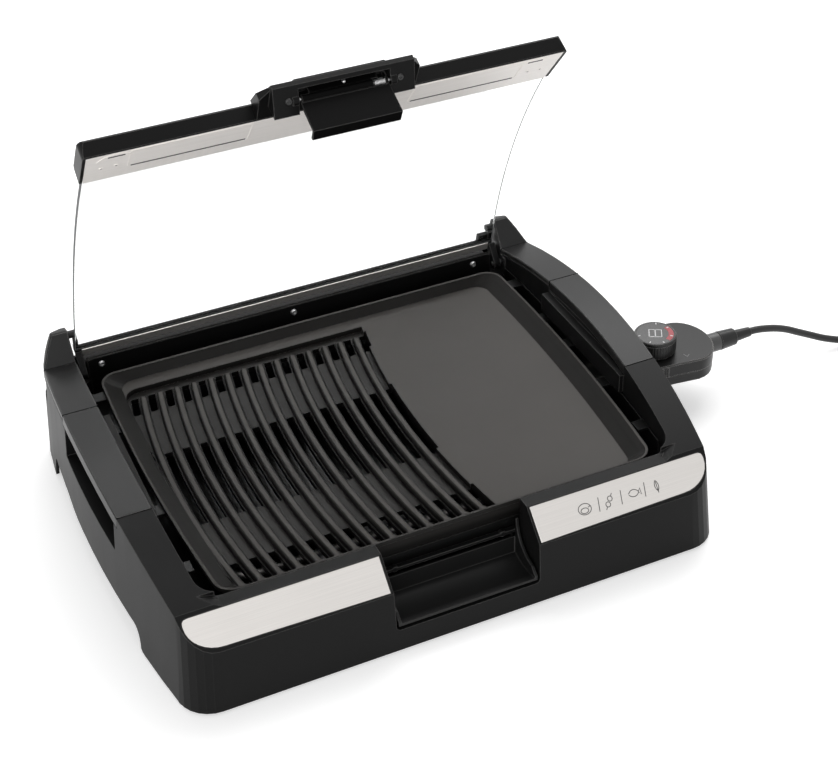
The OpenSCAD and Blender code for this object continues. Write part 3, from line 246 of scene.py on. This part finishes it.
def rounded_over(tree, radius_mm, samples):
    """The normal with the edges of the surface rounded over, and how closely the plain normal
    follows it: 1 on a flat face and less towards an edge."""
    plain = add(tree, "NewGeometry").outputs["Normal"]
    over = add(tree, "Bevel", {"samples": samples}, Radius=radius_mm * MM).outputs["Normal"]
    return over, add(tree, "VectorMath", {"operation": "DOT_PRODUCT"}, i0=plain, i1=over).outputs["Value"]


# Grain of a moulding: fine pits over the whole face and slow drifts of shade and gloss, with a
# painted highlight: a lighter line along each edge.
PAINTED_EDGE_HIGHLIGHT = (0.45, 0.44, 0.43, 1)
moulding, put, get = shader_group(
    "moulded grain and painted edge highlight",
    [("Colour", "Color", (0.05, 0.05, 0.05, 1)), ("Roughness", "Float", 0.4), ("Cells", "Float", 1500.0),
     ("Edge highlight", "Float", 0.1)],
    [("Colour", "Color"), ("Roughness", "Float"), ("Height", "Float"), ("Rounded", "Vector")])
where = add(moulding, "TexCoord").outputs["Object"]
pits = noise(moulding, where, put["Cells"])
drift = noise(moulding, where, 11.0, detail=4)
over, facing = rounded_over(moulding, 0.9, 3)
# Painted highlight: the colour turns lighter where the surface bends over an edge.
edge = joined(moulding, "MULTIPLY", ranged(moulding, facing, 0.0, 1.0, start=0.995, stop=0.86), put["Edge highlight"])
tone = shaded(moulding, put["Colour"], ranged(moulding, drift, 0.86, 1.14))
put_out(moulding, get, Colour=blended(moulding, edge, tone, PAINTED_EDGE_HIGHLIGHT), Height=pits, Rounded=over,
        Roughness=joined(moulding, "ADD", put["Roughness"], ranged(moulding, drift, -0.05, 0.05)))
GRAIN_DEPTH = 0.03


def finish(name, **plain_numbers):
    """A new material, its node tree and its Principled BSDF with the numbers that stay the same."""
    material = bpy.data.materials.new(name)
    material.use_nodes = True
    surface = material.node_tree.nodes["Principled BSDF"]
    for key, value in plain_numbers.items():
        surface.inputs[key.replace("_", " ")].default_value = value
    return material, material.node_tree, surface.inputs


def textured(name, group, depth_mm, values, **plain_numbers):
    """A material whose colour, gloss and relief come out of a group."""
    material, tree, surface = finish(name, **plain_numbers)
    made = tree.nodes.new("ShaderNodeGroup")
    made.node_tree = group
    for key, value in values.items():
        made.inputs[key].default_value = value
    tree.links.new(made.outputs["Colour"], surface["Base Color"])
    tree.links.new(made.outputs["Roughness"], surface["Roughness"])
    relief = add(tree, "Bump", Distance=depth_mm * MM, Height=made.outputs["Height"])
    if "Rounded" in made.outputs:
        tree.links.new(made.outputs["Rounded"], relief.inputs["Normal"])
    tree.links.new(relief.outputs["Normal"], surface["Normal"])
    return material


def moulded(name, shade, roughness, cells=1500.0, edge=0.1, **plain_numbers):
    """A moulded plastic, rubber or print with its grain, of one grey shade or of three. The edge number is
    how strongly a painted highlight lightens its edges.
    """
    colour = (*np.broadcast_to(shade, 3).tolist(), 1)
    values = {"Colour": colour, "Roughness": roughness, "Cells": cells, "Edge highlight": edge}
    return textured(name, moulding, GRAIN_DEPTH, values, **plain_numbers)


SHEATH = moulded("black cord sheath", 0.012, 0.42, cells=900.0, edge=0.0, Specular_IOR_Level=0.4)
route = at(*smooth_path(np.vstack([LEAD_PATH, coil_turns(), TAIL_PATH]), CORD_STEP).T)
cord = linked("mains_lead", skin("mains_lead", rings(route, CORD_D / 2 * MM, CORD_SIDES)),
              "control", SHEATH)
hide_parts("cord_lead", "cord_coil", "cord_tail")

BODY_OF = {node: body for body, nodes in frame["record"]["behaviour"]["bodies"].items() for node in nodes}
LEVEL_FROM = 0.99999
MERGE = 0.004
ROUNDED_FROM = 30


def rounded(node, width, material, crease=20, level_apart=False):
    """The copy of a node that is shown for it, its edges of more than 30 degrees rounded to so
    many millimetres, with 0 for a node whose edges only its material rounds. Faces that meet at
    more than crease degrees are not shaded as one, nor, if level_apart, a level and a sloping one."""
    mesh = frame["nodes"][node].data.copy()
    shape = bmesh.new()
    shape.from_mesh(mesh)
    bmesh.ops.remove_doubles(shape, verts=shape.verts, dist=MERGE * MM)
    for face in shape.faces:
        face.smooth = True
    for edge in shape.edges:
        split = level_apart and len({abs(face.normal.z) > LEVEL_FROM for face in edge.link_faces}) == 2
        edge.smooth = bool(edge.calc_face_angle(0) < np.radians(crease)) and not split
    shape.to_mesh(mesh)
    shape.free()
    mesh.materials.clear()
    piece = linked(node + "_made", mesh, BODY_OF[node], material)
    if width:
        bevel = piece.modifiers.new("round edges", "BEVEL")
        bevel.width = width * MM
        bevel.segments = 2
        bevel.limit_method = "ANGLE"
        bevel.angle_limit = np.radians(ROUNDED_FROM)
        bevel.use_clamp_overlap = False
    piece.modifiers.new("flat faces", "WEIGHTED_NORMAL").keep_sharp = True
    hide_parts(node)
    return piece


tie = rounded("coil_tie", 0.3, moulded("tie plastic", 0.05, 0.5))
plug = rounded("plug", 0.6, moulded("plug rubber", 0.03, 0.45, cells=1100.0))
STRAIN_RUBBER = moulded("strain relief rubber", 0.008, 0.3, edge=0.3, Specular_IOR_Level=0.35)
rounded("strain_relief", 0.4, STRAIN_RUBBER)
rounded("cord_ring", 0.5, moulded("ring plastic", 0.05, 0.3, edge=0.3))

# ---- Casing -------------------------------------------------------------------------------
# The body is one injection moulding in black heat-resistant plastic with a fine satin grain.
# The rear rail covers and the hinge posts are separate mouldings, set down over its sides.

CASING_BLACK = moulded("casing plastic", 0.006, 0.4, edge=0.22, Specular_IOR_Level=0.1)
COVER_BLACK = moulded("rail cover plastic", 0.009, 0.36, edge=0.5, Specular_IOR_Level=0.25)
rounded("base_housing", 0, CASING_BLACK, crease=9, level_apart=True)
for node in ("rear_rail_left", "rear_rail_right", "handle_left", "handle_right",
             "hinge_post_left", "hinge_post_right"):
    rounded(node, 0.9, COVER_BLACK)
rounded("lid_stop_pins", 0.4, COVER_BLACK)

SEAMS = ((77.0, 210.95, 240.75, 241.25, 105.72, 100.8), (-65.8, 206.9, 235.1, 236.2, 103.95, 94.5),
         (169.25, 208.1, 236.7, 237.2, 90.2, 85.3))
SEAM_HALF = 0.8
# Painted shadow: a near black, matt colour for the blocks in the joints.
SEAM_SHADOW_PAINT = moulded("painted seam shadow", 0.001, 0.9, edge=0.0, Specular_IOR_Level=0.0)


def seam_shadows():
    """A painted shadow in each joint across the rails: a dark block just under the rounded edges,
    from its y, its inner x, its outer x at the top and at the foot, and the heights of top and foot."""
    blocks = []
    for side in (-1, 1):
        for y, inner, outer, outer_foot, top, foot in SEAMS:
            across = side * np.array([inner, inner, outer, outer_foot])
            height = np.array([foot, top, top, foot])
            blocks.append(np.stack([at(across, y + d, height) for d in (-SEAM_HALF, SEAM_HALF)]))
    return skin("seam_shadows", *blocks)


linked("seam_shadows", seam_shadows(), "base", SEAM_SHADOW_PAINT)

# ---- Underside ----------------------------------------------------------------------------
# A flat moulded plate closes the casing from below. It is held by self-tapping screws, and
# four rubber feet are pressed into it. The two runners of the drip tray are moulded plastic.

rounded("bottom_plate", 0.4, moulded("bottom plate plastic", 0.014, 0.55, edge=0.08))
rounded("feet", 0.5, moulded("foot rubber", 0.02, 0.75, cells=700.0, edge=0.0))
rounded("tray_rails", 0.4, moulded("runner plastic", 0.014, 0.45, edge=0.08))

# Bright zinc on steel: a pale, slightly blue grey whose gloss drifts in small clouds.
plated, put, get = shader_group(
    "plated steel",
    [("Colour", "Color", (0.6, 0.6, 0.6, 1)), ("Roughness", "Float", 0.3), ("Cells", "Float", 300.0)],
    [("Colour", "Color"), ("Roughness", "Float"), ("Height", "Float")])
where = add(plated, "TexCoord").outputs["Object"]
clouds = noise(plated, where, put["Cells"], detail=4)
put_out(plated, get, Colour=shaded(plated, put["Colour"], ranged(plated, clouds, 0.78, 1.16)), Height=clouds,
        Roughness=joined(plated, "ADD", put["Roughness"], ranged(plated, clouds, -0.1, 0.12)))
PLATING_DEPTH = 0.02


def metal(name, colour, roughness, cells=300.0):
    """A bare or plated metal."""
    values = {"Colour": (*colour, 1), "Roughness": roughness, "Cells": cells}
    return textured(name, plated, PLATING_DEPTH, values, Metallic=1.0)


ZINC = metal("zinc plated screws", (0.5, 0.5, 0.5), 0.32)
rounded("bottom_screws", 0.15, ZINC)

# ---- Front slope --------------------------------------------------------------------------
# Two stainless plates are glued into shallow recesses of the slope on either side of the
# notch. They are brushed along their length; the right one carries four printed food signs.

brushed, put, get = shader_group(
    "brushed steel",
    [("Colour", "Color", (0.6, 0.6, 0.6, 1)), ("Roughness", "Float", 0.3)],
    [("Colour", "Color"), ("Roughness", "Float"), ("Height", "Float")])
BRUSH_CELLS = (12, 2600, 2600)
BRUSH_DEPTH = 0.012
where = add(brushed, "TexCoord").outputs["Object"]
along_x = add(brushed, "Mapping", i0=where, Scale=BRUSH_CELLS).outputs["Vector"]
lines = noise(brushed, along_x, 1.0, detail=2)
haze = noise(brushed, where, 14.0, detail=3)
put_out(brushed, get, Colour=shaded(brushed, put["Colour"], ranged(brushed, lines, 0.86, 1.1)), Height=lines,
        Roughness=joined(brushed, "ADD", put["Roughness"], ranged(brushed, haze, -0.06, 0.06)))

STEEL = textured("brushed stainless", brushed, BRUSH_DEPTH,
                 {"Colour": (0.68, 0.655, 0.63, 1), "Roughness": 0.34}, Metallic=0.85)
for node in ("trim_plate_left", "trim_plate_right"):
    rounded(node, 0.25, STEEL)

SLOPE_FOOT_Y = -190.5
SLOPE_FOOT_Z = 60.0
SLOPE_ANGLE = np.radians(44)
LINE_ROOT = 0.1
SIGN_LINE = 0.62
SIGN_MIDDLE = 15.8
SIGNS_AT = (107.0, 128.8, 151.0, 170.7)
BARS_AT = (119.6, 139.8, 161.2)
SIGN_INK = moulded("printed ink", 0.06, 0.5, edge=0.0)


def on_slope(x, up, out):
    """Places on the front slope: across, up along it from its foot, and out of its surface."""
    return at(x, SLOPE_FOOT_Y + up * np.cos(SLOPE_ANGLE) - out * np.sin(SLOPE_ANGLE),
              SLOPE_FOOT_Z + up * np.sin(SLOPE_ANGLE) + out * np.cos(SLOPE_ANGLE))


def lines_on(name, paths, width, place, height=0.08):
    """Flat strips along plane paths: each point is moved half the width to either side, square
    to the path, and place() carries its two numbers and a height over the surface into space."""
    strips = []
    for path in paths:
        path = np.asarray(path, float)
        along = np.gradient(path, axis=0)
        along /= np.linalg.norm(along, axis=1, keepdims=True)
        side = np.stack([-along[:, 1], along[:, 0]], -1) * width / 2
        corners = ((-1, -LINE_ROOT), (1, -LINE_ROOT), (1, height), (-1, height))
        strips.append(np.stack([place(*(path + sign * side).T, out) for sign, out in corners], 1))
    return skin(name, *strips)


def oval(x, y, wide, high, start=0.0, stop=360.0, count=40):
    """Part of an ellipse about (x, y), between two angles in degrees."""
    angle = np.radians(np.linspace(start, stop, count))
    return np.stack([x + wide * np.cos(angle), y + high * np.sin(angle)], -1)


def food_signs():
    """Four plain signs between slanted bars: a cut loaf, a skewer, a fish and a leaf."""
    loaf, skewer, fish, leaf = SIGNS_AT
    y = SIGN_MIDDLE
    paths = [oval(loaf, y, 5.6, 4.4), oval(loaf - 0.4, y - 1.2, 3.3, 2.1),
             [(loaf + 3.2, y + 0.6), (loaf + 5.0, y + 1.4)]]
    paths += [oval(skewer - 1.6, y - 2.2, 2.0, 2.0), oval(skewer + 1.3, y + 1.8, 2.0, 2.0),
              [(skewer - 4.4, y - 6.0), (skewer - 2.9, y - 4.0)],
              [(skewer + 2.7, y + 3.7), (skewer + 4.1, y + 5.6)]]
    paths += [oval(fish, y - 3.6, 5.6, 6.4, 38, 142), oval(fish, y + 3.6, 5.6, 6.4, 218, 322),
              [(fish + 4.2, y), (fish + 6.3, y + 2.6), (fish + 6.3, y - 2.6), (fish + 4.2, y)]]
    paths += [oval(leaf - 3.4, y, 6.4, 6.4, -42, 42), oval(leaf + 6.1, y, 6.4, 6.4, 138, 222),
              [(leaf + 1.35, y - 5.8), (leaf + 1.35, y + 3.2)]]
    paths += [[(bar - 1.0, y - 5.6), (bar + 1.0, y + 5.6)] for bar in BARS_AT]
    return lines_on("food_signs", paths, SIGN_LINE, on_slope)


linked("food_signs", food_signs(), "base", SIGN_INK)

# ---- Lining, element and catch ------------------------------------------------------------
# The well is lined with black enamelled sheet steel, held by three screws in its rear wall.
# The tubular element lies in clips under the plate; its pins and the guide of the probe stand
# in the right side. The catch of the lid is moulded and sits in the notch.

LINING = moulded("lining enamel", 0.004, 0.3, cells=500.0, edge=0.08, Specular_IOR_Level=0.15)
rounded("heat_shield", 0, LINING)
rounded("liner_screws", 0.15, ZINC)
rounded("heating_element", 0, metal("element sheath", (0.62, 0.6, 0.58), 0.38, cells=500.0))
rounded("element_clips", 0.15, ZINC)
rounded("terminal_pins", 0.3, metal("nickel pins", (0.6, 0.58, 0.54), 0.22))
rounded("probe_receptacle", 0.4, moulded("guide plastic", 0.014, 0.45))
rounded("latch_catch", 0.3, CASING_BLACK)

# ---- Drip tray ----------------------------------------------------------------------------
# A deep pan pressed in one piece, coated black, that slides in under the plate. Its scooped
# front closes the notch.

rounded("drip_tray", 0.5, moulded("tray plastic", 0.007, 0.4, edge=0.12, Specular_IOR_Level=0.2))

# ---- Grill plate --------------------------------------------------------------------------
# Cast aluminium with a non-stick coating: bowed ribs on the left, a flat area on the right.
# The coating is a fine satin. Its colour carries painted shade, darker in the grooves, on steep
# faces and on narrow ribs, and a painted highlight in specks along the edges of the ribs.

# Painted highlight: the light colour put in specks along the edges of the ribs.
PAINTED_RIB_HIGHLIGHT = (0.16, 0.155, 0.15, 1)
RIB_TOP_Z = 71
GROOVE_DEPTH = 5
TOP_BAND = 0.5
coated, put, get = shader_group(
    "cast coating and painted light",
    [("Colour", "Color", (0.05, 0.05, 0.05, 1)), ("Roughness", "Float", 0.4), ("Floor", "Float", 0.0),
     ("Top", "Float", 1.0)],
    [("Colour", "Color"), ("Roughness", "Float"), ("Height", "Float"), ("Rounded", "Vector")])
where = add(coated, "TexCoord").outputs["Object"]
pits = noise(coated, where, 1300.0, detail=2)
drift = noise(coated, where, 16.0, detail=4)
specks = add(coated, "TexVoronoi", Vector=where, Scale=420.0).outputs["Distance"]
over, facing = rounded_over(coated, 0.8, 3)
# Painted highlight: lighter specks where the surface bends over an edge.
edge = joined(coated, "MULTIPLY", ranged(coated, facing, 0.0, 0.85, start=0.99, stop=0.8),
              ranged(coated, specks, 1.0, 0.25, start=0.25, stop=0.5))

# Painted shade: the colour darkens towards the groove floors, on steep faces and in narrow places.
height = add(coated, "SeparateXYZ", Vector=where).outputs["Z"]
level = ranged(coated, height, 0.3, 1.0, start=put["Floor"], stop=put["Top"])
painted_facing_shade = add(coated, "SeparateXYZ", Vector=over).outputs["Z"]
painted_facing_shade = ranged(coated, painted_facing_shade, 0.2, 1.0, start=0.92, stop=0.998)
painted_thin_rib_shade = ranged(coated, rounded_over(coated, 2.6, 4)[1], 0.3, 1.0, start=0.9, stop=1.0)
shade = joined(coated, "MULTIPLY", level, ranged(coated, drift, 0.88, 1.12), painted_facing_shade, painted_thin_rib_shade)
put_out(coated, get, Colour=blended(coated, edge, shaded(coated, put["Colour"], shade), PAINTED_RIB_HIGHLIGHT),
        Roughness=joined(coated, "ADD", put["Roughness"], ranged(coated, drift, -0.04, 0.04)),
        Height=pits, Rounded=over)

COATING_AND_PAINTED_LIGHT = textured("non-stick coating", coated, GRAIN_DEPTH,
                   {"Colour": (0.062, 0.058, 0.0545, 1), "Roughness": 0.4,
                    "Floor": (RIB_TOP_Z - GROOVE_DEPTH) * MM, "Top": (RIB_TOP_Z - TOP_BAND) * MM},
                   Specular_IOR_Level=0.1)
rounded("grill_plate", 0, COATING_AND_PAINTED_LIGHT, crease=7, level_apart=True)

# ---- Lid ----------------------------------------------------------------------------------
# A bent pane of tempered glass with a faint green edge. A black bar over a pressed stainless
# strip clamps it in front, and an outer bar and a steel strip on a seal clamp it at the rear.
# Two arms and pins carry it in the posts.

CLEAR_GLASS = (0.985, 0.998, 0.993, 1)
SMEARED_GLASS = (0.992, 1.0, 0.997, 1)
END_FACE = 0.95
glass, tree, surface = finish("lid glass", Transmission_Weight=1.0, Roughness=0.0, IOR=1.45)
smear = noise(tree, add(tree, "TexCoord").outputs["Object"], 9.0, detail=2)
tree.links.new(blended(tree, smear, CLEAR_GLASS, SMEARED_GLASS), surface["Base Color"])
pane = rounded("lid_glass", 0.5, glass)
pane.data.materials.append(moulded("ground glass edge", (0.0658, 0.07, 0.0742), 0.5, edge=0.0))
for face in pane.data.polygons:
    face.material_index = int(abs(face.normal.x) > END_FACE)
LID_BLACK = moulded("lid plastic", 0.005, 0.36, edge=0.25, Specular_IOR_Level=0.1)
rounded("lid_front_bar", 0, LID_BLACK)
rounded("handle_housing", 0, LID_BLACK)
PRESSED_STEEL = textured("pressed stainless", brushed, BRUSH_DEPTH,
                         {"Colour": (0.96, 0.92, 0.885, 1), "Roughness": 0.42}, Metallic=0.12)
rounded("lid_liner_strip", 0.2, PRESSED_STEEL)

# A point of the open lid in y and z, and in the lid's own v along it and w out of it.
LID_POINT = (172.0, 75.0)
LID_POINT_VW = (-8, -13)
LID_V = (-0.4509, 0.8926)
LID_W = (0.8926, 0.4509)
BAR_V = 309.0
BAR_TILT = np.radians(15)
BAR_FACE = 14.4


def on_lid(x, v, w):
    """Places on the open lid: across, along it from its rear edge, and out of its outer side."""
    along, out = v - LID_POINT_VW[0], w - LID_POINT_VW[1]
    return at(x, LID_POINT[0] + LID_V[0] * along + LID_W[0] * out,
              LID_POINT[1] + LID_V[1] * along + LID_W[1] * out)


def on_strip(x, along, out):
    """Places on the bar's inner face: across, back from its front edge, and out of the face."""
    down = BAR_FACE + out
    return on_lid(x, BAR_V - along * np.cos(BAR_TILT) - down * np.sin(BAR_TILT),
                  along * np.sin(BAR_TILT) - down * np.cos(BAR_TILT))


PANEL_X = (66.5, 160.5)
PANEL_ALONG = (4.5, 32.5)
PANEL_CORNER = 1.5
PANEL_RIM = 1.0
PANEL_SLOT_IN = 2.0
BOW_AT = (171.5, 17.5)
BOW_REACH = (15.0, 14.0)
END_SLOT_X = (164.5, 177.5)
END_SLOT_ALONG = 8.0
DIMPLES_AT = ((181.5, 26.5), (170.0, 26.0))
DIMPLE_R = 1.5
DIMPLE_HOLE_R = 0.4

bead_lines, slot_lines = [], []
for s in (-1, 1):
    near, far = (s * x for x in PANEL_X)
    upper, lower = PANEL_ALONG
    bead_lines.append([(near, lower), (near, upper), (near + s * PANEL_CORNER, upper - PANEL_RIM),
                       (far - s * PANEL_CORNER, upper - PANEL_RIM), (far, upper), (far, lower)])
    bead_lines.append(oval(s * BOW_AT[0], BOW_AT[1], *BOW_REACH, 200, 340, 12))
    slot_lines.append([(near + s * PANEL_SLOT_IN, lower), (far - s * PANEL_SLOT_IN, lower)])
    slot_lines.append([(s * x, END_SLOT_ALONG) for x in END_SLOT_X])
    for x, along in DIMPLES_AT:
        bead_lines.append(oval(s * x, along, DIMPLE_R, DIMPLE_R, count=16))
        slot_lines.append(oval(s * x, along, DIMPLE_HOLE_R, DIMPLE_HOLE_R, count=10))
linked("strip_beads", lines_on("strip_beads", bead_lines, 0.9, on_strip, 0.35), "lid",
       PRESSED_STEEL)
linked("strip_slots", lines_on("strip_slots", slot_lines, 1.8, on_strip, 0.1), "lid",
       moulded("dark slot", 0.02, 0.5, edge=0.0))
rounded("hinge_bar", 0.3, LID_BLACK)
rounded("hinge_strip", 0.2, STEEL)
rounded("glass_gasket", 0.2, moulded("silicone seal", 0.015, 0.6, edge=0.0))
rounded("hinge_arms", 0.4, LID_BLACK)
rounded("hinge_pins", 0.3, ZINC)
rounded("handle_screws", 0.15, metal("blackened screws", (0.06, 0.06, 0.06), 0.35))

# ---- Latch --------------------------------------------------------------------------------
# A moulded flap on a steel pin across the handle. A small torsion spring holds its lip
# under the catch; pressing the pad on top of the handle swings it free.

LEVER_BLACK = moulded("latch plastic", 0.003, 0.36, edge=0.25, Specular_IOR_Level=0.03)
rounded("latch_lever", 0.5, LEVER_BLACK)
rounded("latch_pin", 0.15, ZINC)

LATCH_V, LATCH_W = 328.5, -20.5
SPRING_X = (23.2, 31.8)
SPRING_R = 2.45
SPRING_WIRE = 0.42
SPRING_TURNS = 8
WIRE_POINTS = 28
WIRE_SIDES = 8
STUD_V = 334.0
STUD_W = np.array([-10.0, -12.0, -17.6, -18.2, -18.6, -18.7])
STUD_R = np.array([1.5, 1.5, 1.5, 1.3, 0.7, 0.2])
STUD_SIDES = 20


def spring_wire():
    """A helix round the latch's pin: it moves along x as it turns about the pin's axis."""
    turn = np.linspace(0, 2 * np.pi * SPRING_TURNS, WIRE_POINTS * SPRING_TURNS)
    x = np.interp(turn, (0, turn[-1]), SPRING_X)
    return on_lid(x, LATCH_V + SPRING_R * np.cos(turn), LATCH_W + SPRING_R * np.sin(turn))


spring = linked("spring_wire", skin("spring_wire", rings(spring_wire(), SPRING_WIRE * MM, WIRE_SIDES)),
                "lid", ZINC)
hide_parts("latch_spring")
stud = on_lid(0.0, STUD_V + 0 * STUD_W, STUD_W)
linked("pad_stud", skin("pad_stud", rings(stud, STUD_R * MM, STUD_SIDES)), "latch", ZINC)

# ---- Plug-in control ----------------------------------------------------------------------
# Two black shells screwed together from below hold the thermostat. The round knob turns on
# top; its face is a glossy printed disc. The probe and the two sleeves go into the base.

CONTROL_BLACK = moulded("control plastic", 0.009, 0.33, edge=0.8, Specular_IOR_Level=0.28)
rounded("control_housing_top", 0, CONTROL_BLACK)
rounded("control_housing_base", 0.5, CONTROL_BLACK)
rounded("control_screws", 0.15, ZINC)
rounded("control_knob", 0.35, CONTROL_BLACK)
rounded("dial_disc", 0, moulded("dial face", 0.02, 0.22, edge=0.0, cells=300.0))

KNOB_X = 278.5
BAND_R = 19.08
BAND_Z = (59.0, 59.6, 71.8, 72.4)
BAND_RIM = 0.6
FLUTES = 48
FLUTE_POINTS = 8
FLUTE_DEPTH = 0.3


def fluted_band():
    """The grip of the knob: a ring whose radius rises and falls in soft ridges round it, and
    closes into the knob at its two rims."""
    angle = np.linspace(0, 2 * np.pi, FLUTES * FLUTE_POINTS, endpoint=False)
    ridge = FLUTE_DEPTH * np.abs(np.cos(angle * FLUTES / 2))
    radius = BAND_R + np.stack([0 * ridge - BAND_RIM, ridge, ridge, 0 * ridge - BAND_RIM])
    height = np.array(BAND_Z)[:, None]
    return at(KNOB_X + radius * np.cos(angle), radius * np.sin(angle), height)


linked("knob_flutes", skin("knob_flutes", fluted_band()), "knob", CONTROL_BLACK)

DIAL_TOP = 74.9
MARKS_AT = (57, 169, -138, -92)
MARK_R = (14.0, 16.4)
SIGN_HALF = 5.6
SIGN_TURN = np.radians(-29)
HOT_R = 14.2
HOT_FROM, HOT_TO = -70, 18
HOT_MARKS_AT = (12, -42)
HOT_MARK_R = (13.6, 16.0)
POINTER = [(298.2, -18.0), (299.4, -22.6), (302.8, -20.4)]
POINTER_Z = 57
PRINT_WHITE = moulded("white print", 0.7, 0.5, edge=0.0)
PRINT_RED = moulded("red print", (0.33, 0.02, 0.03), 0.35, cells=300.0, edge=0.0)
PRINT_GREY = moulded("grey print", 0.2, 0.5, edge=0.0)


def on_dial(x, y, out):
    """Places on the dial's face, about the knob's axis."""
    return at(KNOB_X + x, y, DIAL_TOP + out)


def on_control(x, y, out):
    """Places on the top of the control before the knob."""
    return at(x, y, POINTER_Z + out)


def spoke(degrees, radii):
    """A short line towards the rim of the dial."""
    angle = np.radians(degrees)
    return [(r * np.cos(angle), r * np.sin(angle)) for r in radii]


def turned(path):
    """A plane path turned about the knob's axis, as the dial's sign is."""
    cosine, sine = np.cos(SIGN_TURN), np.sin(SIGN_TURN)
    return np.asarray(path) @ [[cosine, sine], [-sine, cosine]]


h = SIGN_HALF
divided_square = [turned([(-h, -h), (-h, h), (h, h), (h, -h), (-h, -h)]), turned([(0, -h), (0, h)])]
white_marks = [spoke(angle, MARK_R) for angle in MARKS_AT] + divided_square
hot_arc = [oval(0, 0, HOT_R, HOT_R, HOT_FROM, HOT_TO)]
hot_marks = [spoke(angle, HOT_MARK_R) for angle in HOT_MARKS_AT]
for name, paths, width, height, ink in (("dial_marks", white_marks, 1.1, 0.08, PRINT_WHITE),
                                        ("dial_heat_arc", hot_arc, 4.6, 0.06, PRINT_RED),
                                        ("dial_heat_marks", hot_marks, 1.3, 0.12, PRINT_WHITE)):
    linked(name, lines_on(name, paths, width, on_dial, height), "knob", ink)
linked("dial_pointer", lines_on("dial_pointer", [POINTER], 0.8, on_control), "control",
       PRINT_GREY)
rounded("probe_rod", 0, metal("probe steel", (0.62, 0.61, 0.6), 0.25))
rounded("contact_sleeves", 0.2, metal("brass sleeves", (0.6, 0.45, 0.2), 0.3))

# ---- Studio -------------------------------------------------------------------------------
# White ground and surroundings, which the camera, gloss and glass see brighter than they
# light the object. A wide soft lamp hangs over it and a weaker one stands before it.

GROUND = 2.2
PAPER = (0.86, 0.86, 0.86, 1)
WHITE = (1, 1, 1, 1)
PAPER_GLOW = 0.45
WORLD_LIGHTS = 0.42
WORLD_SHOWS = 1.0


def looked_at(tree):
    """1 for what the camera sees, by gloss or through glass too, and 0 for light on the object."""
    seen = add(tree, "LightPath").outputs
    return joined(tree, "MAXIMUM", seen["Is Camera Ray"], seen["Is Glossy Ray"], seen["Is Transmission Ray"])


def soft_lamp(name, place, aim, size, watts):
    """A square lamp at a place, turned towards another, both in millimetres."""
    data = bpy.data.lights.new(name, "AREA")
    data.size = size
    data.energy = watts
    lamp = bpy.data.objects.new(name, data)
    lamp.location = at(*place)
    ray = at(*aim) - at(*place)
    lamp.rotation_euler = Vector(ray).to_track_quat("-Z", "Y").to_euler()
    scene.collection.objects.link(lamp)


paper, tree, surface = finish("white ground", Base_Color=PAPER, Roughness=0.9, Specular_IOR_Level=0.1,
                              Emission_Color=WHITE)
tree.links.new(joined(tree, "MULTIPLY", looked_at(tree), PAPER_GLOW), surface["Emission Strength"])
floor_mesh = bpy.data.meshes.new("ground")
floor_mesh.from_pydata([(x * GROUND, y * GROUND, 0) for x, y in ((-1, -1), (1, -1), (1, 1), (-1, 1))],
                       [], [(0, 1, 2, 3)])
floor_mesh.materials.append(paper)
ground = bpy.data.objects.new("ground", floor_mesh)
scene.collection.objects.link(ground)

world = bpy.data.worlds.new("studio")
scene.world = world
world.use_nodes = True
tree = world.node_tree
backdrop = tree.nodes["Background"].inputs
backdrop["Color"].default_value = WHITE
tree.links.new(ranged(tree, looked_at(tree), WORLD_LIGHTS, WORLD_SHOWS), backdrop["Strength"])

soft_lamp("overhead", (550, 800, 1500), (0, 0, 0), 1.6, 24)
soft_lamp("front", (-1000, -1700, 700), (0, 100, 200), 1.4, 19)
